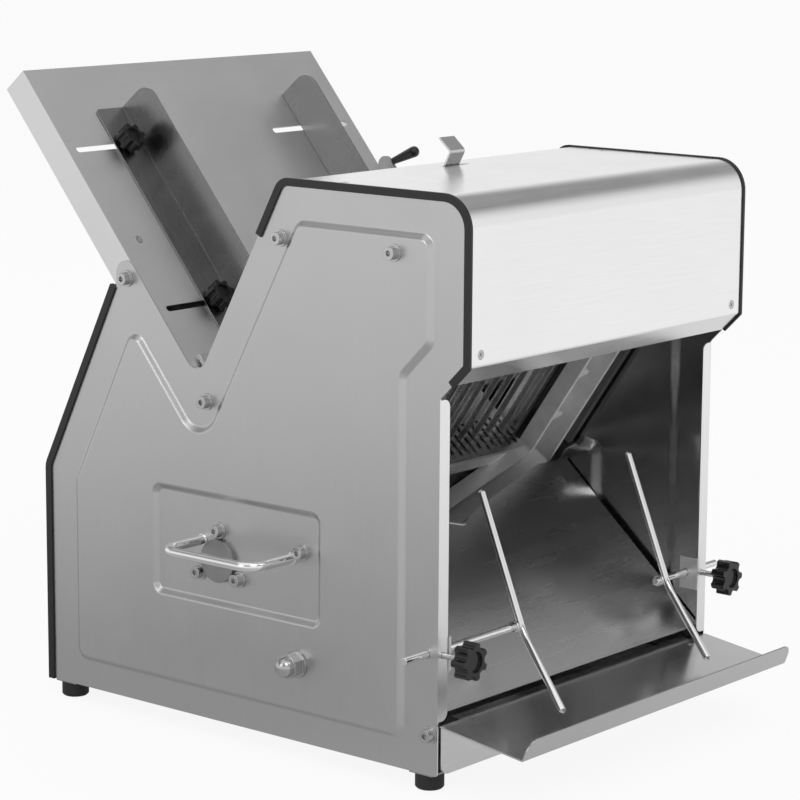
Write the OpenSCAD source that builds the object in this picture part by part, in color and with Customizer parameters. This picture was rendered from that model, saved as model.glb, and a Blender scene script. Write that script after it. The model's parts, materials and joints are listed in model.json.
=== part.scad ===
/* [Body] */
// Width over the flat side panels
body_w = 460; // [440:5:480]
// Thickness of panel, hood, board and chute sheet
sheet_t = 1.5; // [1.2:0.1:2]
// Depth of a side panel along its bottom edge
panel_depth = 533; // [520:1:545]
// Height where the rear edge starts to lean forward
kink_h = 236; // [225:1:245]
// Rearward place of the back of the board lug
lug_y = 432.5; // [425:0.5:440]
// Height of the foot of the board lug
lug_h = 438; // [430:1:442]
// Radius of the lug round its bolt
lug_r = 14.3; // [12:0.1:15]
// Height of the side panels under the hood
panel_top = 567; // [560:1:575]
// How far the hood stands forward of the front posts
hood_reach = 33.5; // [28:0.5:38]
// Height of the lower edge of the hood front
hood_foot_h = 407; // [400:1:415]
// Bend radius of the hood front
hood_bend_r = 30.5; // [24:0.5:36]
// Rear edge of the hood top
hood_back_y = 186; // [180:1:192]

/* [Loaf trough] */
// Rearward place of the sharp bottom corner of the trough
trough_y = 317; // [310:1:324]
// Height of the sharp bottom corner of the trough
trough_z = 354.3; // [350:0.1:360]
// Slope of the loading board
board_angle = 50.2; // [49:0.1:51.5]
// Slope of the front edge of the trough
lean_angle = 61.7; // [60:0.1:63]
// Radius in the bottom of the trough cut-out
trough_r = 15.6; // [12:0.1:18]
// Drop of the board surface below the edge of the panels
board_drop = 1.5; // [1:0.1:3]
// Length of the board above the trough corner
board_len = 393; // [380:1:405]
// Depth of the folded side flanges of the board
board_flange = 33; // [28:1:36]

/* [Output chute] */
// Rearward place of the upper edge of the chute
chute_y = 187.2; // [184:0.1:190]
// Height of the upper edge of the chute
chute_z = 221.7; // [219:0.1:224]
// Slope of the chute and the comb plate
chute_angle = 41.36; // [40.5:0.02:42]
// Length of the chute down its slope
chute_len = 243; // [236:1:246]
// Half the width of the chute
chute_half = 226; // [220:0.5:226]
// Half the width of the notch in the upper edge
notch_half = 174; // [165:1:180]
// Half the width of the deep middle of the notch
notch_mid_half = 36; // [30:1:42]
// Depth of the notch at the side of its deep middle
notch_side_d = 33; // [28:1:36]
// Depth of the notch at its centre
notch_d = 47; // [42:1:52]

/* [Output tray and crumb drawer] */
// Height of the rear edge of the tray
tray_back_z = 52; // [50:0.5:53]
// Height of the front fold of the tray
tray_front_z = 38; // [36:0.5:40]
// Forward reach of the front fold of the tray
tray_reach = 102.7; // [95:0.1:108]
// Half the width of the tray
tray_half = 229; // [220:0.5:230]
// Height of the front lip of the tray
lip_h = 21.5; // [18:0.5:25]
// Forward lean of the front lip
lip_lean = 8.3; // [6:0.1:10]
// Depth of the crumb drawer box
drawer_depth = 250; // [220:5:260]
// Height of the sides of the crumb drawer
drawer_h = 31; // [26:1:33]
// Half the width of the drawer front
drawer_front_half = 226; // [215:0.5:227]

/* [Blades and frames] */
// Slope of the blades, leaning forward
blade_lean = 55.4; // [54.5:0.1:56.5]
// Rearward place of the crank axis
crank_y = 287.5; // [285:0.1:290]
// Height of the crank axis
crank_z = 170.8; // [168:0.1:173]
// Crank radius, half the stroke of a frame
crank_r = 12; // [10:0.5:13]
// Distance from one blade to the next
blade_pitch = 12; // [11:0.5:12.5]
// Number of blades on each side of the middle one
blades_each_side = 15; // [13:1:15]
// Width of a blade from back to cutting edge
blade_w = 8; // [6:0.5:9]
// Thickness of a blade
blade_t = 0.8; // [0.5:0.1:1]
// Half the width between the inner walls of a frame
window_half = 187.5; // [186:0.5:189]
// Half the width over the outer walls of a frame
frame_half = 219.5; // [217:0.5:220]
// Wall thickness of the frame castings
frame_wall = 4; // [3:0.5:5]
// Depth of the inner walls of a frame casting
inner_wall_d = 20; // [16:1:22]
// Depth of the outer walls of a frame casting
outer_wall_d = 31; // [26:1:33]
// Slope of the lower member of a frame
member_slope = 34.2; // [33:0.1:35]
// Height of the lower member along the blades
member_d = 34; // [30:1:36]
// Distance between the ribs inside a side bar
rib_pitch = 61.7; // [56:0.1:66]

/* [Drive] */
// Radius of the crankshaft
shaft_r = 10; // [9:0.25:10.5]
// Radius of the large pulley
pulley_r = 42; // [38:0.5:42]
// Speed ratio from the motor to the crankshaft
pulley_ratio = 2.5; // [2:0.1:3]
// Width of the pulleys
pulley_w = 14; // [12:0.5:14]
// Rearward place of the motor axis
motor_y = 440; // [435:1:445]
// Height of the motor axis
motor_z = 80; // [78:1:84]
// Radius of the motor housing
motor_r = 58; // [52:1:60]
// Length of the motor housing
motor_len = 158; // [140:2:165]

/* [Loaf guides] */
// Length of a loaf guide along the board
guide_len = 291; // [270:1:300]
// Height of the lower end of the guides above the trough corner
guide_low_u = 45; // [40:1:60]
// Height of the upright flange of a guide
guide_h = 50; // [40:1:60]
// Width of the flat flange of a guide
guide_foot_w = 42; // [36:1:46]
// Place of the upright flange of the left guide
guide_left_x = -118; // [-125:1:-112]
// Place of the upright flange of the right guide
guide_right_x = 138; // [130:1:145]
// Height of the upper board slots above the trough corner
slot_high_u = 289; // [280:1:295]
// Height of the lower board slots above the trough corner
slot_low_u = 87; // [80:1:95]
// Inner end of the board slots
slot_in_x = 90; // [85:1:95]
// Outer end of the board slots
slot_out_x = 216; // [214:0.5:217]
// Width of the board slots
slot_w = 6.8; // [6.4:0.1:7.5]
// Radius of the star knobs over their lobes
knob_r = 15; // [13:0.5:17]

/* [Slice wires] */
// Rearward place of the crossbars
bar_y = 14; // [13:0.5:15]
// Height of the crossbars
bar_z = 121; // [118:0.5:124]
// Radius of the crossbars and of the wires
wire_r = 3.75; // [3:0.25:4]
// Outer end of the left crossbar
bar_left_out = 265; // [255:1:275]
// Outer end of the right crossbar
bar_right_out = 268; // [255:1:275]
// Place of the left wire on its crossbar
wire_left_x = -90; // [-95:1:-80]
// Place of the right wire on its crossbar
wire_right_x = 164; // [150:1:165]
// Length of a wire above its bend
wire_up_len = 150; // [130:5:160]
// Length of a wire below its bend
wire_low_len = 99; // [80:1:99]
// Lean of a wire above its bend, from upright
wire_up_lean = 22; // [15:1:25]
// Bend between the upper and the lower leg of a wire
wire_bend = 32; // [20:1:36]
// Turn of the bend to the left, about the upper leg
wire_turn = 33; // [0:1:40]

/* [Push lever and hold-down] */
// Rearward place of the lever pivot
pivot_y = 304.6; // [302:0.1:307]
// Height of the lever pivot
pivot_z = 333.7; // [331:0.1:336]
// Length of the lever arm
lever_len = 253; // [240:1:260]
// Length of the lever grip
grip_len = 52; // [45:1:60]
// Length of the hold-down plate along its slide
hold_len = 112; // [100:1:120]
// Upward travel of the hold-down plate
hold_travel = 80; // [60:1:85]
// Rearward place of the slot in the hood top
hood_slot_y = 158; // [154:0.5:162]

/* [Handles and feet] */
// Radius of the carry handle rod
handle_r = 5; // [4:0.25:6]
// Distance between the ends of a carry handle
handle_span = 123; // [115:1:135]
// How far a carry handle stands out
handle_out = 60; // [50:1:65]
// Rearward place of the middle of a carry handle
handle_y = 249.7; // [244:0.1:252]
// Height of the carry handles
handle_z = 189; // [184:0.5:194]
// Radius of a rubber foot
foot_r = 14.5; // [12:0.5:16]
// Height of a rubber foot
foot_h = 16; // [12:0.5:20]

/* [Smoothness] */
// Angle of one step of a rounded corner
arc_step = 7.5; // [5:0.5:15]

/* [Hidden] */
$fn = 48;
// Small gap between pieces that slide or nest
slide_gap = 0.3;
// Gap round a running shaft
run_gap = 0.05;
// Overrun of a cut past the surface it opens
over = 1;
half_w = body_w / 2;
inner_half = half_w - sheet_t;
// How far the pressed field of a side panel stands out
field_out = 4.5;
// Margin of the pressed field along the bottom edge
field_low_in = 33;
// Margin of the pressed field along the rear, trough and top edges
field_in = 40;
// Margin of the pressed field along the front edges
field_front_in = 44.5;
// Corner radii of the pressed field
field_r = 12;
field_trough_r = 26;
// Height of the plate bracket under each corner
foot_plate_t = 2;
stand_h = foot_h + foot_plate_t;
// Thickness of the edge trims outside the panel edge
trim_t = 3;
// Depth of the trims that cover the joint to the rear cover
rear_trim_d = 8.5;
// Width of the trims on the face of the panel
trim_leg = 8;
// How far a trim stands out from the face of the panel
trim_out = 2;

// Unit vector from one point to another
function dir(a, b) = (b - a) / norm(b - a);
// Vector turned a quarter turn to the left
function left(v) = [-v[1], v[0]];
// Unit vector at an angle
function at(a) = [cos(a), sin(a)];
// Sine of the turn from one direction to another, with its sign
function turn(u, v) = u[0] * v[1] - u[1] * v[0];
// Vector turned by an angle
function spin(v, a) = [v[0] * cos(a) - v[1] * sin(a), v[0] * sin(a) + v[1] * cos(a)];
// Crossing of the line through p along u with the line through q along v
function meet(p, u, q, v) = p + u * turn(q - p, v) / turn(u, v);
// First two entries of a corner
function flat(p) = [p[0], p[1]];
// Entry of a closed list
function ring(list, i) = list[(i + len(list)) % len(list)];
// Points of the arc that rounds the corner p between a and b
function corner_arc(a, p, b, r) =
    let (u = dir(a, p), v = dir(p, b), bend = acos(max(-1, min(1, u * v))))
    let (way = sign(turn(u, v)), start = p - u * r * tan(bend / 2))
    let (centre = start + left(u) * r * way, steps = max(1, ceil(bend / arc_step)))
    r <= 0 || bend < 1 ? [p] :
    [for (i = [0 : steps]) centre + spin(start - centre, way * bend * i / steps)];
// Closed outline through corners with a radius each
function rounded(corners) = [
    for (i = [0 : len(corners) - 1])
        each corner_arc(flat(ring(corners, i - 1)), flat(corners[i]), flat(ring(corners, i + 1)),
            corners[i][2])
];
// Corners moved inwards by a gap for each edge, with radii r
function inset(corners, gaps, r) = [
    for (i = [0 : len(corners) - 1])
        let (p = flat(corners[i]), u = dir(flat(ring(corners, i - 1)), p))
        let (v = dir(p, flat(ring(corners, i + 1))))
        let (q = meet(p + left(u) * ring(gaps, i - 1), u, p + left(v) * gaps[i], v))
        [q[0], q[1], r[i]]
];
// Same gap or radius for every corner
function same(corners, value) = [for (c = corners) value];
// One side of a folded strip, moved sideways by t
function strip_side(path, t) = [
    for (i = [0 : len(path) - 1])
        let (last = len(path) - 1, p = flat(path[i]))
        let (u = i > 0 ? dir(flat(path[i - 1]), p) : dir(p, flat(path[1])))
        let (v = i < last ? dir(p, flat(path[i + 1])) : u)
        let (q = p + (left(u) + left(v)) * t / (1 + u * v))
        [q[0], q[1], i == 0 || i == last ? 0 : max(0, path[i][2] - t * sign(turn(u, v)))]
];
// Points of an open path with rounded bends
function open_arcs(path) = [
    for (i = [0 : len(path) - 1])
        each i == 0 || i == len(path) - 1 ? [flat(path[i])] :
            corner_arc(flat(path[i - 1]), flat(path[i]), flat(path[i + 1]), path[i][2])
];
function reversed(list) = [for (i = [len(list) - 1 : -1 : 0]) list[i]];
// Outline of a folded strip of thickness t on the left of its path
function strip(path, t) = concat(open_arcs(path), reversed(open_arcs(strip_side(path, t))));
// Corners of a rectangle with one radius
function rect(x0, y0, x1, y1, r) = [[x0, y0, r], [x1, y0, r], [x1, y1, r], [x0, y1, r]];

// Outline in depth and height, drawn out across the width
module across(x0, x1) translate([x0, 0, 0]) rotate([90, 0, 90]) linear_extrude(x1 - x0) children();
module both_sides() {
    children();
    mirror([1, 0, 0]) children();
}
module x_rod(p, r, x0, x1) translate([x0, p[0], p[1]]) rotate([0, 90, 0]) cylinder(r = r, h = x1 - x0);
module block(low, high) translate(low) cube(high - low);
// Outline of a straight slot along the first axis
module slot_shape(x0, x1, w) {
    translate([(x0 + x1) / 2, 0]) square([x1 - x0 - w, w], center = true);
    for (x = [x0 + w / 2, x1 - w / 2]) translate([x, 0]) circle(d = w);
}

// Main lines of the side panel, depth and height
trough = [trough_y, trough_z];
board_dir = at(board_angle);
lean_dir = at(180 - lean_angle);
kink = [panel_depth, kink_h];
lug_foot = [lug_y, lug_h];
lug_tip = meet(lug_foot, [0, 1], trough, board_dir);
back_dir = dir(kink, lug_foot);
lug_cross = meet(kink, back_dir, trough, board_dir);
hood_corner = meet([0, panel_top], [1, 0], trough, lean_dir);
panel_edge_r = 3;
hood_back_r = 16;
kink_r = 14;
panel_corners = [
    [0, 0, panel_edge_r], [panel_depth, 0, panel_edge_r], [kink[0], kink[1], kink_r],
    [lug_foot[0], lug_foot[1], kink_r], [lug_tip[0], lug_tip[1], lug_r],
    [trough_y, trough_z, trough_r], [hood_corner[0], hood_corner[1], hood_back_r],
    [-hood_reach, panel_top, hood_bend_r], [-hood_reach, hood_foot_h, 0],
    [0, hood_foot_h - hood_reach, panel_edge_r]
];
field_corners = inset(
    [
        [0, 0], [panel_depth, 0], kink, lug_cross, trough, hood_corner, [-hood_reach, panel_top],
        [-hood_reach, hood_foot_h], [0, hood_foot_h - hood_reach]
    ],
    [
        field_low_in, field_in, field_in, field_in, field_in, field_in, field_front_in,
        field_front_in, field_front_in
    ],
    [
        field_r, field_r, field_r, field_r, field_trough_r, field_r, field_r, field_r, field_r
    ]
);
// Recess round the carry handle
recess_front_y = 150;
recess_back_y = 376;
recess_low_z = 126;
recess_high_z = 238;
recess_r = 9;
recess_corners = rect(recess_front_y, recess_low_z, recess_back_y, recess_high_z, recess_r);
// Front post flange of the side panel
post_flange_w = 15;
post_low_z = 55;
post_high_z = hood_foot_h - hood_reach - sheet_t;
post_r = 8;
// Tabs that carry the hood
tab_len = 30;
tab_w = 28;
hood_screw_y = 135;
hood_screw_z = 418;
hood_screw_x = 213;

crank_at = [crank_y, crank_z];
pivot_at = [pivot_y, pivot_z];
bar_at = [bar_y, bar_z];
// Bolt places on the side panel
lug_bolt = [lug_y - lug_r - sheet_t, lug_h + lug_r - 2 * sheet_t];
bolt_r = 4;
guide_bolt_s = 411;
tie_at = [179.2, 82.2];
tie_r = 6;
runner_bolt_y = 9;
runner_bolt_z = 41.2;
chute_bolt_a = -25.7;
chute_bolt_drop = 10;
hold_bolt_s = 73.1;
hold_bolt_back = 12;
cap_bolt_r = 31.5;

blade_angle = 180 - blade_lean;
blade_dir = at(blade_angle);
chute_dir = at(chute_angle);
chute_at = [chute_y, chute_z];
board_low_at = trough - left(board_dir) * board_drop;
board_under_at = board_low_at - left(board_dir) * sheet_t;
comb_fold = meet(chute_at, chute_dir, board_under_at, board_dir);
hold_dir = lean_dir;
hood_top = panel_top + sheet_t;
hood_slot_at = [hood_slot_y, hood_top];
hold_bolt = hood_slot_at - hold_dir * hold_bolt_s + left(hold_dir) * -hold_bolt_back;
chute_bolt = chute_at + chute_dir * chute_bolt_a - left(chute_dir) * chute_bolt_drop;
guide_bolt = crank_at + blade_dir * guide_bolt_s;
panel_bolt_places = [
    lug_bolt, guide_bolt, hold_bolt, chute_bolt, [runner_bolt_y, runner_bolt_z]
];

// Frames of the sloping parts, from the depth and height of their origin
module on_board() translate([0, board_low_at[0], board_low_at[1]]) rotate([board_angle, 0, 0]) children();
module on_chute() translate([0, chute_y, chute_z]) rotate([chute_angle, 0, 0]) children();
module on_blades(s = 0)
    translate([0, crank_y, crank_z]) rotate([blade_angle, 0, 0]) translate([0, s, 0]) children();
module on_slide()
    translate([0, hood_slot_at[0], hood_slot_at[1]]) rotate([180 - lean_angle, 0, 0]) children();

// Reach of the front and rear ends, for the origin under the middle
lip_dir = dir([0, 0], [-lip_lean, lip_h]);
front_y = -tray_reach - lip_lean - sheet_t * lip_dir[1];
board_top_at = board_low_at + board_dir * board_len;
back_y = board_top_at[0] + sin(board_angle) * board_flange;
mid_y = (front_y + back_y) / 2;
module placed() translate([0, -mid_y, stand_h]) children();

module panel_sheet_cuts(pivot_hole_r) {
    for (p = concat(panel_bolt_places, cap_bolts)) translate(p) circle(r = bolt_r);
    translate(pivot_at) circle(r = pivot_hole_r);
    translate(tie_at) circle(r = tie_r);
    translate(crank_at) circle(r = shaft_r + run_gap);
    translate(bar_at) circle(r = wire_r + slide_gap);
}

// Left side panel, its field pressed outwards round the handle recess
module side_panel(pivot_hole_r) {
    color("silver") placed() {
        difference() {
            across(-half_w, -inner_half) difference() {
                polygon(rounded(panel_corners));
                difference() {
                    polygon(rounded(inset(field_corners, same(field_corners, sheet_t), [
                        for (c = field_corners) max(0, c[2] - sheet_t)])));
                    polygon(rounded(inset(recess_corners, same(recess_corners, -sheet_t),
                        same(recess_corners, recess_r + sheet_t))));
                }
            }
            across(-half_w - over, -inner_half + over) panel_sheet_cuts(pivot_hole_r);
        }
        difference() {
            union() {
                across(-half_w - field_out, -half_w) difference() {
                    polygon(rounded(field_corners));
                    polygon(rounded(inset(field_corners, same(field_corners, sheet_t), [
                        for (c = field_corners) max(0, c[2] - sheet_t)])));
                }
                across(-half_w - field_out, -half_w) difference() {
                    polygon(rounded(inset(recess_corners, same(recess_corners, -sheet_t),
                        same(recess_corners, recess_r + sheet_t))));
                    polygon(rounded(recess_corners));
                }
                across(-half_w - field_out, -half_w - field_out + sheet_t) difference() {
                    polygon(rounded(field_corners));
                    polygon(rounded(recess_corners));
                }
            }
            across(-half_w - field_out - over, -half_w) panel_sheet_cuts(pivot_hole_r);
        }
        translate([0, sheet_t, 0]) rotate([90, 0, 0]) linear_extrude(sheet_t) difference() {
            polygon(rounded([
                [-inner_half, post_low_z, 0], [-half_w + post_flange_w, post_low_z, post_r],
                [-half_w + post_flange_w, post_high_z, post_r], [-inner_half, post_high_z, 0]
            ]));
            translate([-clamp_x, bar_z]) circle(r = stud_r + slide_gap);
        }
        difference() {
            union() {
                block([-inner_half, hood_screw_y - tab_len / 2, panel_top - sheet_t],
                    [-inner_half + tab_w, hood_screw_y + tab_len / 2, panel_top]);
                block([-inner_half, -hood_reach, hood_screw_z - tab_len / 3],
                    [-inner_half + tab_w, -hood_reach + sheet_t, hood_screw_z + tab_len / 3]);
            }
            at_hood_screws() screw_cut();
        }
    }
}
module side_panel_left() side_panel(bolt_r);
module side_panel_right() mirror([1, 0, 0]) side_panel(pivot_pin_r + run_gap);

// Hood sheet over the top and front, with its lip and its slot
hood_lip_d = 19;
hood_slot_left = -34;
hood_slot_right = 8;
hood_slot_w = 6;
hood_lip_r = 4;
hood_path = [
    [hood_back_y, hood_top, 0], [-hood_reach - sheet_t, hood_top, hood_bend_r + sheet_t],
    [-hood_reach - sheet_t, hood_foot_h, hood_lip_r],
    [-hood_reach - sheet_t + hood_lip_d, hood_foot_h - hood_lip_d, 0]
];
screw_r = 2.5;
screw_head_r = 4.8;
screw_head_h = 0.9 * sheet_t;
module hood() {
    color("gainsboro") placed() difference() {
        across(-inner_half, inner_half) polygon(strip(hood_path, sheet_t));
        translate([0, hood_slot_y, hood_top - sheet_t - over]) linear_extrude(sheet_t + 2 * over)
            slot_shape(hood_slot_left, hood_slot_right, hood_slot_w);
        at_hood_screws() screw_cut();
    }
}

// Edge trims along the hood and along the rear edges of the panels
hood_trim_start = meet([0, panel_top], [1, 0], trough, lean_dir) - lean_dir * 64;
hood_trim_path = [
    [hood_trim_start[0], hood_trim_start[1], 0], [hood_corner[0], hood_corner[1], hood_back_r],
    [-hood_reach, panel_top, hood_bend_r], [-hood_reach, hood_foot_h, 0],
    [-hood_reach + hood_lip_d, hood_foot_h - hood_lip_d, 0]
];
rear_trim_path = [
    [panel_depth, 0, 0], [kink[0], kink[1], kink_r], [lug_foot[0], lug_foot[1], 0]
];
module edge_trims() {
    color("black") placed() both_sides() {
        across(half_w, half_w + trim_out) polygon(strip(hood_trim_path, trim_leg - trim_t));
        across(inner_half, half_w + trim_out) polygon(strip(hood_trim_path, -trim_t));
        across(inner_half - trim_out, half_w + trim_out) polygon(strip(rear_trim_path, -rear_trim_d));
    }
}

// Rear cover with rows of air slots in front of the motor
cover_out = 7;
louvre_rows = 6;
louvre_pitch = 14;
louvre_w = 4;
louvre_len = 60;
louvre_x = 110;
louvre_low_z = 60;
cover_half = inner_half - trim_out;
cover_path = strip_side(rear_trim_path, -cover_out);
module rear_cover() {
    color("silver") placed() difference() {
        across(-cover_half, cover_half) polygon(strip(cover_path, sheet_t));
        for (side = [-1, 1], i = [0 : louvre_rows - 1])
            translate([side * louvre_x, panel_depth - over, louvre_low_z + i * louvre_pitch])
                rotate([-90, 0, 0]) linear_extrude(cover_out + 2 * over)
                    slot_shape(-louvre_len / 2, louvre_len / 2, louvre_w);
        translate([gland_x, panel_depth - over, gland_z]) rotate([-90, 0, 0])
            cylinder(r = gland_bore, h = cover_out + 2 * over);
    }
}

// Base pan between the side panels
pan_front_y = 20;
pan_wall_h = 22;
module base_pan() {
    color("lightgrey") placed() {
        block([-inner_half, pan_front_y, 0], [inner_half, panel_depth - sheet_t, sheet_t]);
        both_sides() block([inner_half - sheet_t, drawer_depth + pan_front_y, sheet_t],
            [inner_half, panel_depth - sheet_t, pan_wall_h]);
        block([-inner_half + sheet_t, panel_depth - 2 * sheet_t, sheet_t],
            [inner_half - sheet_t, panel_depth - sheet_t, pan_wall_h]);
    }
}

// Feet and the plates that carry them
foot_x = half_w - foot_r - sheet_t;
foot_front_y = 22;
foot_back_y = panel_depth - foot_r;
foot_waist = 2;
module at_feet() both_sides() for (y = [foot_front_y, foot_back_y]) translate([foot_x, y, 0]) children();
module foot_brackets() {
    color("grey") placed() at_feet() translate([-foot_r, -foot_r, -foot_plate_t])
        cube([2 * foot_r, 2 * foot_r, foot_plate_t]);
}
module feet() {
    color("black") placed() at_feet() translate([0, 0, -stand_h]) {
        cylinder(r1 = foot_r - foot_waist, r2 = foot_r, h = foot_waist);
        translate([0, 0, foot_waist]) cylinder(r = foot_r, h = foot_h - foot_waist);
    }
}

// Angle runners that keep the drawer level
runner_in = 213;
runner_z = drawer_h + sheet_t + slide_gap + foot_plate_t;
runner_h = 16;
runner_front_y = 3;
module drawer_runners() {
    color("grey") placed() both_sides() difference() {
        union() {
            block([inner_half - sheet_t, runner_front_y, runner_z],
                [inner_half, drawer_depth, runner_z + runner_h]);
            block([runner_in, runner_front_y, runner_z], [inner_half, drawer_depth, runner_z + sheet_t]);
        }
        x_rod([runner_bolt_y, runner_bolt_z], bolt_r, runner_in, half_w);
    }
}

// Crumb drawer, its front and the sloping ledge that carries the tray
drawer_z = sheet_t + slide_gap;
drawer_half = inner_half - 8;
drawer_rim = 5;
front_low_z = 0.7;
front_high_z = 46;
front_r = 12;
ledge_len = 24;
tray_fall = atan((tray_back_z - tray_front_z) / (tray_reach - 2));
tray_slope = at(180 + tray_fall);
tray_back_at = [-2, tray_back_z];
tray_tail = 10;
tray_tail_half = 198;
tray_tail_at = tray_back_at - tray_slope * tray_tail;
ledge_at = tray_back_at - [0, sheet_t];
tray_screw_y = -13;
tray_screw_x = 185;
module crumb_drawer() {
    color("silver") placed() {
        difference() {
            block([-drawer_half + drawer_rim, 0, drawer_z],
                [drawer_half - drawer_rim, drawer_depth, drawer_h]);
            block([-drawer_half + drawer_rim + sheet_t, sheet_t, drawer_z + sheet_t],
                [drawer_half - drawer_rim - sheet_t, drawer_depth - sheet_t, drawer_h + over]);
        }
        both_sides() block([drawer_half - drawer_rim, sheet_t, drawer_h - sheet_t],
            [drawer_half, drawer_depth, drawer_h]);
        rotate([90, 0, 0]) linear_extrude(sheet_t) polygon(rounded([
            [-drawer_front_half, front_low_z, front_r], [drawer_front_half, front_low_z, front_r],
            [drawer_front_half, front_high_z, 0], [-drawer_front_half, front_high_z, 0]
        ]));
        difference() {
            across(-drawer_front_half, drawer_front_half) polygon(strip([
                [0, front_high_z, 0], [0, ledge_at[1], 0],
                [tray_slope[0] * ledge_len, ledge_at[1] + tray_slope[1] * ledge_len, 0]
            ], sheet_t));
            at_tray_screws() screw_cut();
        }
    }
}

// Output tray with its front lip
lip_r = 14;
fold_r = 1;
tray_lip_z = tray_front_z + lip_h;
module output_tray() {
    color("gainsboro") placed() difference() {
        intersection() {
            across(-tray_half, tray_half) polygon(strip([
                [tray_tail_at[0], tray_tail_at[1], 0], [-tray_reach, tray_front_z, fold_r],
                [-tray_reach - lip_lean, tray_lip_z, 0]
            ], sheet_t));
            union() {
                block([-tray_half, -tray_reach + over, 0], [tray_half, tray_back_at[0], tray_lip_z]);
                block([-tray_tail_half, tray_back_at[0] - over, 0],
                    [tray_tail_half, tray_tail, tray_lip_z + tray_tail]);
                translate([0, -tray_reach + over, 0]) rotate([90, 0, 0]) linear_extrude(lip_h)
                    polygon(rounded([
                        [-tray_half, 0, 0], [tray_half, 0, 0], [tray_half, tray_lip_z, lip_r],
                        [-tray_half, tray_lip_z, lip_r]
                    ]));
            }
        }
        at_tray_screws() screw_cut();
    }
}

// Countersunk screw, its head level with the surface at height zero
screw_len = 2 * sheet_t + 2;
module screw() {
    translate([0, 0, -screw_len]) cylinder(r = screw_r, h = screw_len);
    translate([0, 0, -screw_head_h]) cylinder(r1 = screw_r, r2 = screw_head_r, h = screw_head_h);
}
// Hole for such a screw
module screw_cut() {
    translate([0, 0, -screw_len - over]) cylinder(r = screw_r, h = screw_len + over);
    translate([0, 0, -screw_head_h]) cylinder(r1 = screw_r, r2 = screw_head_r, h = screw_head_h);
}
module at_tray_screws() both_sides() translate([tray_screw_x, tray_back_at[0], tray_back_at[1]])
    rotate([tray_fall, 0, 0]) translate([0, tray_screw_y - tray_back_at[0], 0]) children();
module at_board_screws() both_sides() on_board() translate([board_screw_x, board_screw_u, 0]) children();
module at_chute_screws() both_sides() on_chute() translate([chute_screw_x, chute_screw_a, 0]) children();
module at_hood_screws() both_sides() {
    translate([hood_screw_x, hood_screw_y, hood_top]) children();
    translate([hood_screw_x, -hood_reach - sheet_t, hood_screw_z]) rotate([90, 0, 0]) children();
}
module tray_screws() {
    color("dimgrey") placed() at_tray_screws() screw();
}

// Loading board with side flanges and slots for the guides
board_screw_u = 172.5;
board_screw_x = 200.5;
pivot_u = (pivot_at - board_low_at) * board_dir;
board_low_u = -norm(board_under_at - comb_fold);
pivot_pin_r = 6;
module loading_board() {
    color("gainsboro") placed() difference() {
        on_board() difference() {
            union() {
                block([-inner_half, board_low_u, -sheet_t], [inner_half, board_len, 0]);
                both_sides() block([inner_half - sheet_t, board_low_u, -board_flange],
                    [inner_half, board_len, -sheet_t]);
                block([-inner_half, board_len - sheet_t, -board_flange], [inner_half, board_len, -sheet_t]);
            }
            both_sides() for (u = [slot_low_u, slot_high_u])
                translate([0, u, -sheet_t - over]) linear_extrude(sheet_t + 2 * over)
                    slot_shape(slot_in_x, slot_out_x, slot_w);
            both_sides() block([paddle_x - paddle_t - over, pivot_u - paddle_hub_r - over, -sheet_t - over],
                [inner_half + over, pivot_u + paddle_hub_r + over, over]);
        }
        at_board_screws() screw_cut();
        x_rod(lug_bolt, bolt_r, -half_w, half_w);
        x_rod(pivot_at, pivot_pin_r + slide_gap, -half_w, half_w);
    }
}

// Comb plate, slotted for the blades, with a flange under the board
comb_half = 177.4;
comb_low_a = 28;
comb_slot_a = 32.8;
comb_slot_len = 42;
comb_slot_w = 5.2;
comb_flange = 16;
comb_slots_each_side = blades_each_side - 1;
comb_low_at = chute_at + chute_dir * comb_low_a;
comb_end_at = comb_fold + board_dir * comb_flange;
module comb_plate() {
    color("silver") placed() difference() {
        across(-comb_half, comb_half) polygon(strip([
            [comb_low_at[0], comb_low_at[1], 0], [comb_fold[0], comb_fold[1], 0],
            [comb_end_at[0], comb_end_at[1], 0]
        ], -sheet_t));
        on_chute() for (i = [-comb_slots_each_side : comb_slots_each_side])
            translate([i * blade_pitch, 0, -sheet_t - over]) linear_extrude(sheet_t + 2 * over)
                rotate(90) slot_shape(comb_slot_a, comb_slot_a + comb_slot_len, comb_slot_w);
    }
}

// Output chute with its notched, hemmed upper edge
chute_flange = 20;
notch_r = 12;
hem_w = 3;
hem_h = 0.8;
chute_screw_x = 194.6;
chute_screw_a = -25.7;
function notch(grow) = [
    [-notch_half - grow, over, 0], [-notch_half - grow, 0, 0],
    [-notch_mid_half, -notch_side_d - grow, notch_r], [0, -notch_d - grow, notch_r],
    [notch_mid_half, -notch_side_d - grow, notch_r], [notch_half + grow, 0, 0],
    [notch_half + grow, over, 0]
];
module output_chute() {
    color("silver") placed() on_chute() difference() {
        union() {
            block([-chute_half, -chute_len, -sheet_t], [chute_half, 0, 0]);
            both_sides() block([chute_half - sheet_t, -chute_len, -chute_flange], [chute_half, 0, -sheet_t]);
            intersection() {
                linear_extrude(hem_h) polygon(rounded(notch(hem_w)));
                block([-chute_half, -chute_len, 0], [chute_half, 0, hem_h]);
            }
        }
        translate([0, 0, -sheet_t - over]) linear_extrude(sheet_t + 3 * over) polygon(rounded(notch(0)));
        both_sides() translate([chute_screw_x, chute_screw_a, 0]) screw_cut();
        translate([0, chute_bolt_a, -chute_bolt_drop]) rotate([0, 90, 0])
            cylinder(r = bolt_r, h = body_w, center = true);
    }
}

// Screws of the board, the chute and the hood
module sheet_screws() {
    color("dimgrey") placed() {
        at_board_screws() screw();
        at_chute_screws() screw();
        at_hood_screws() screw();
    }
}

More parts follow.
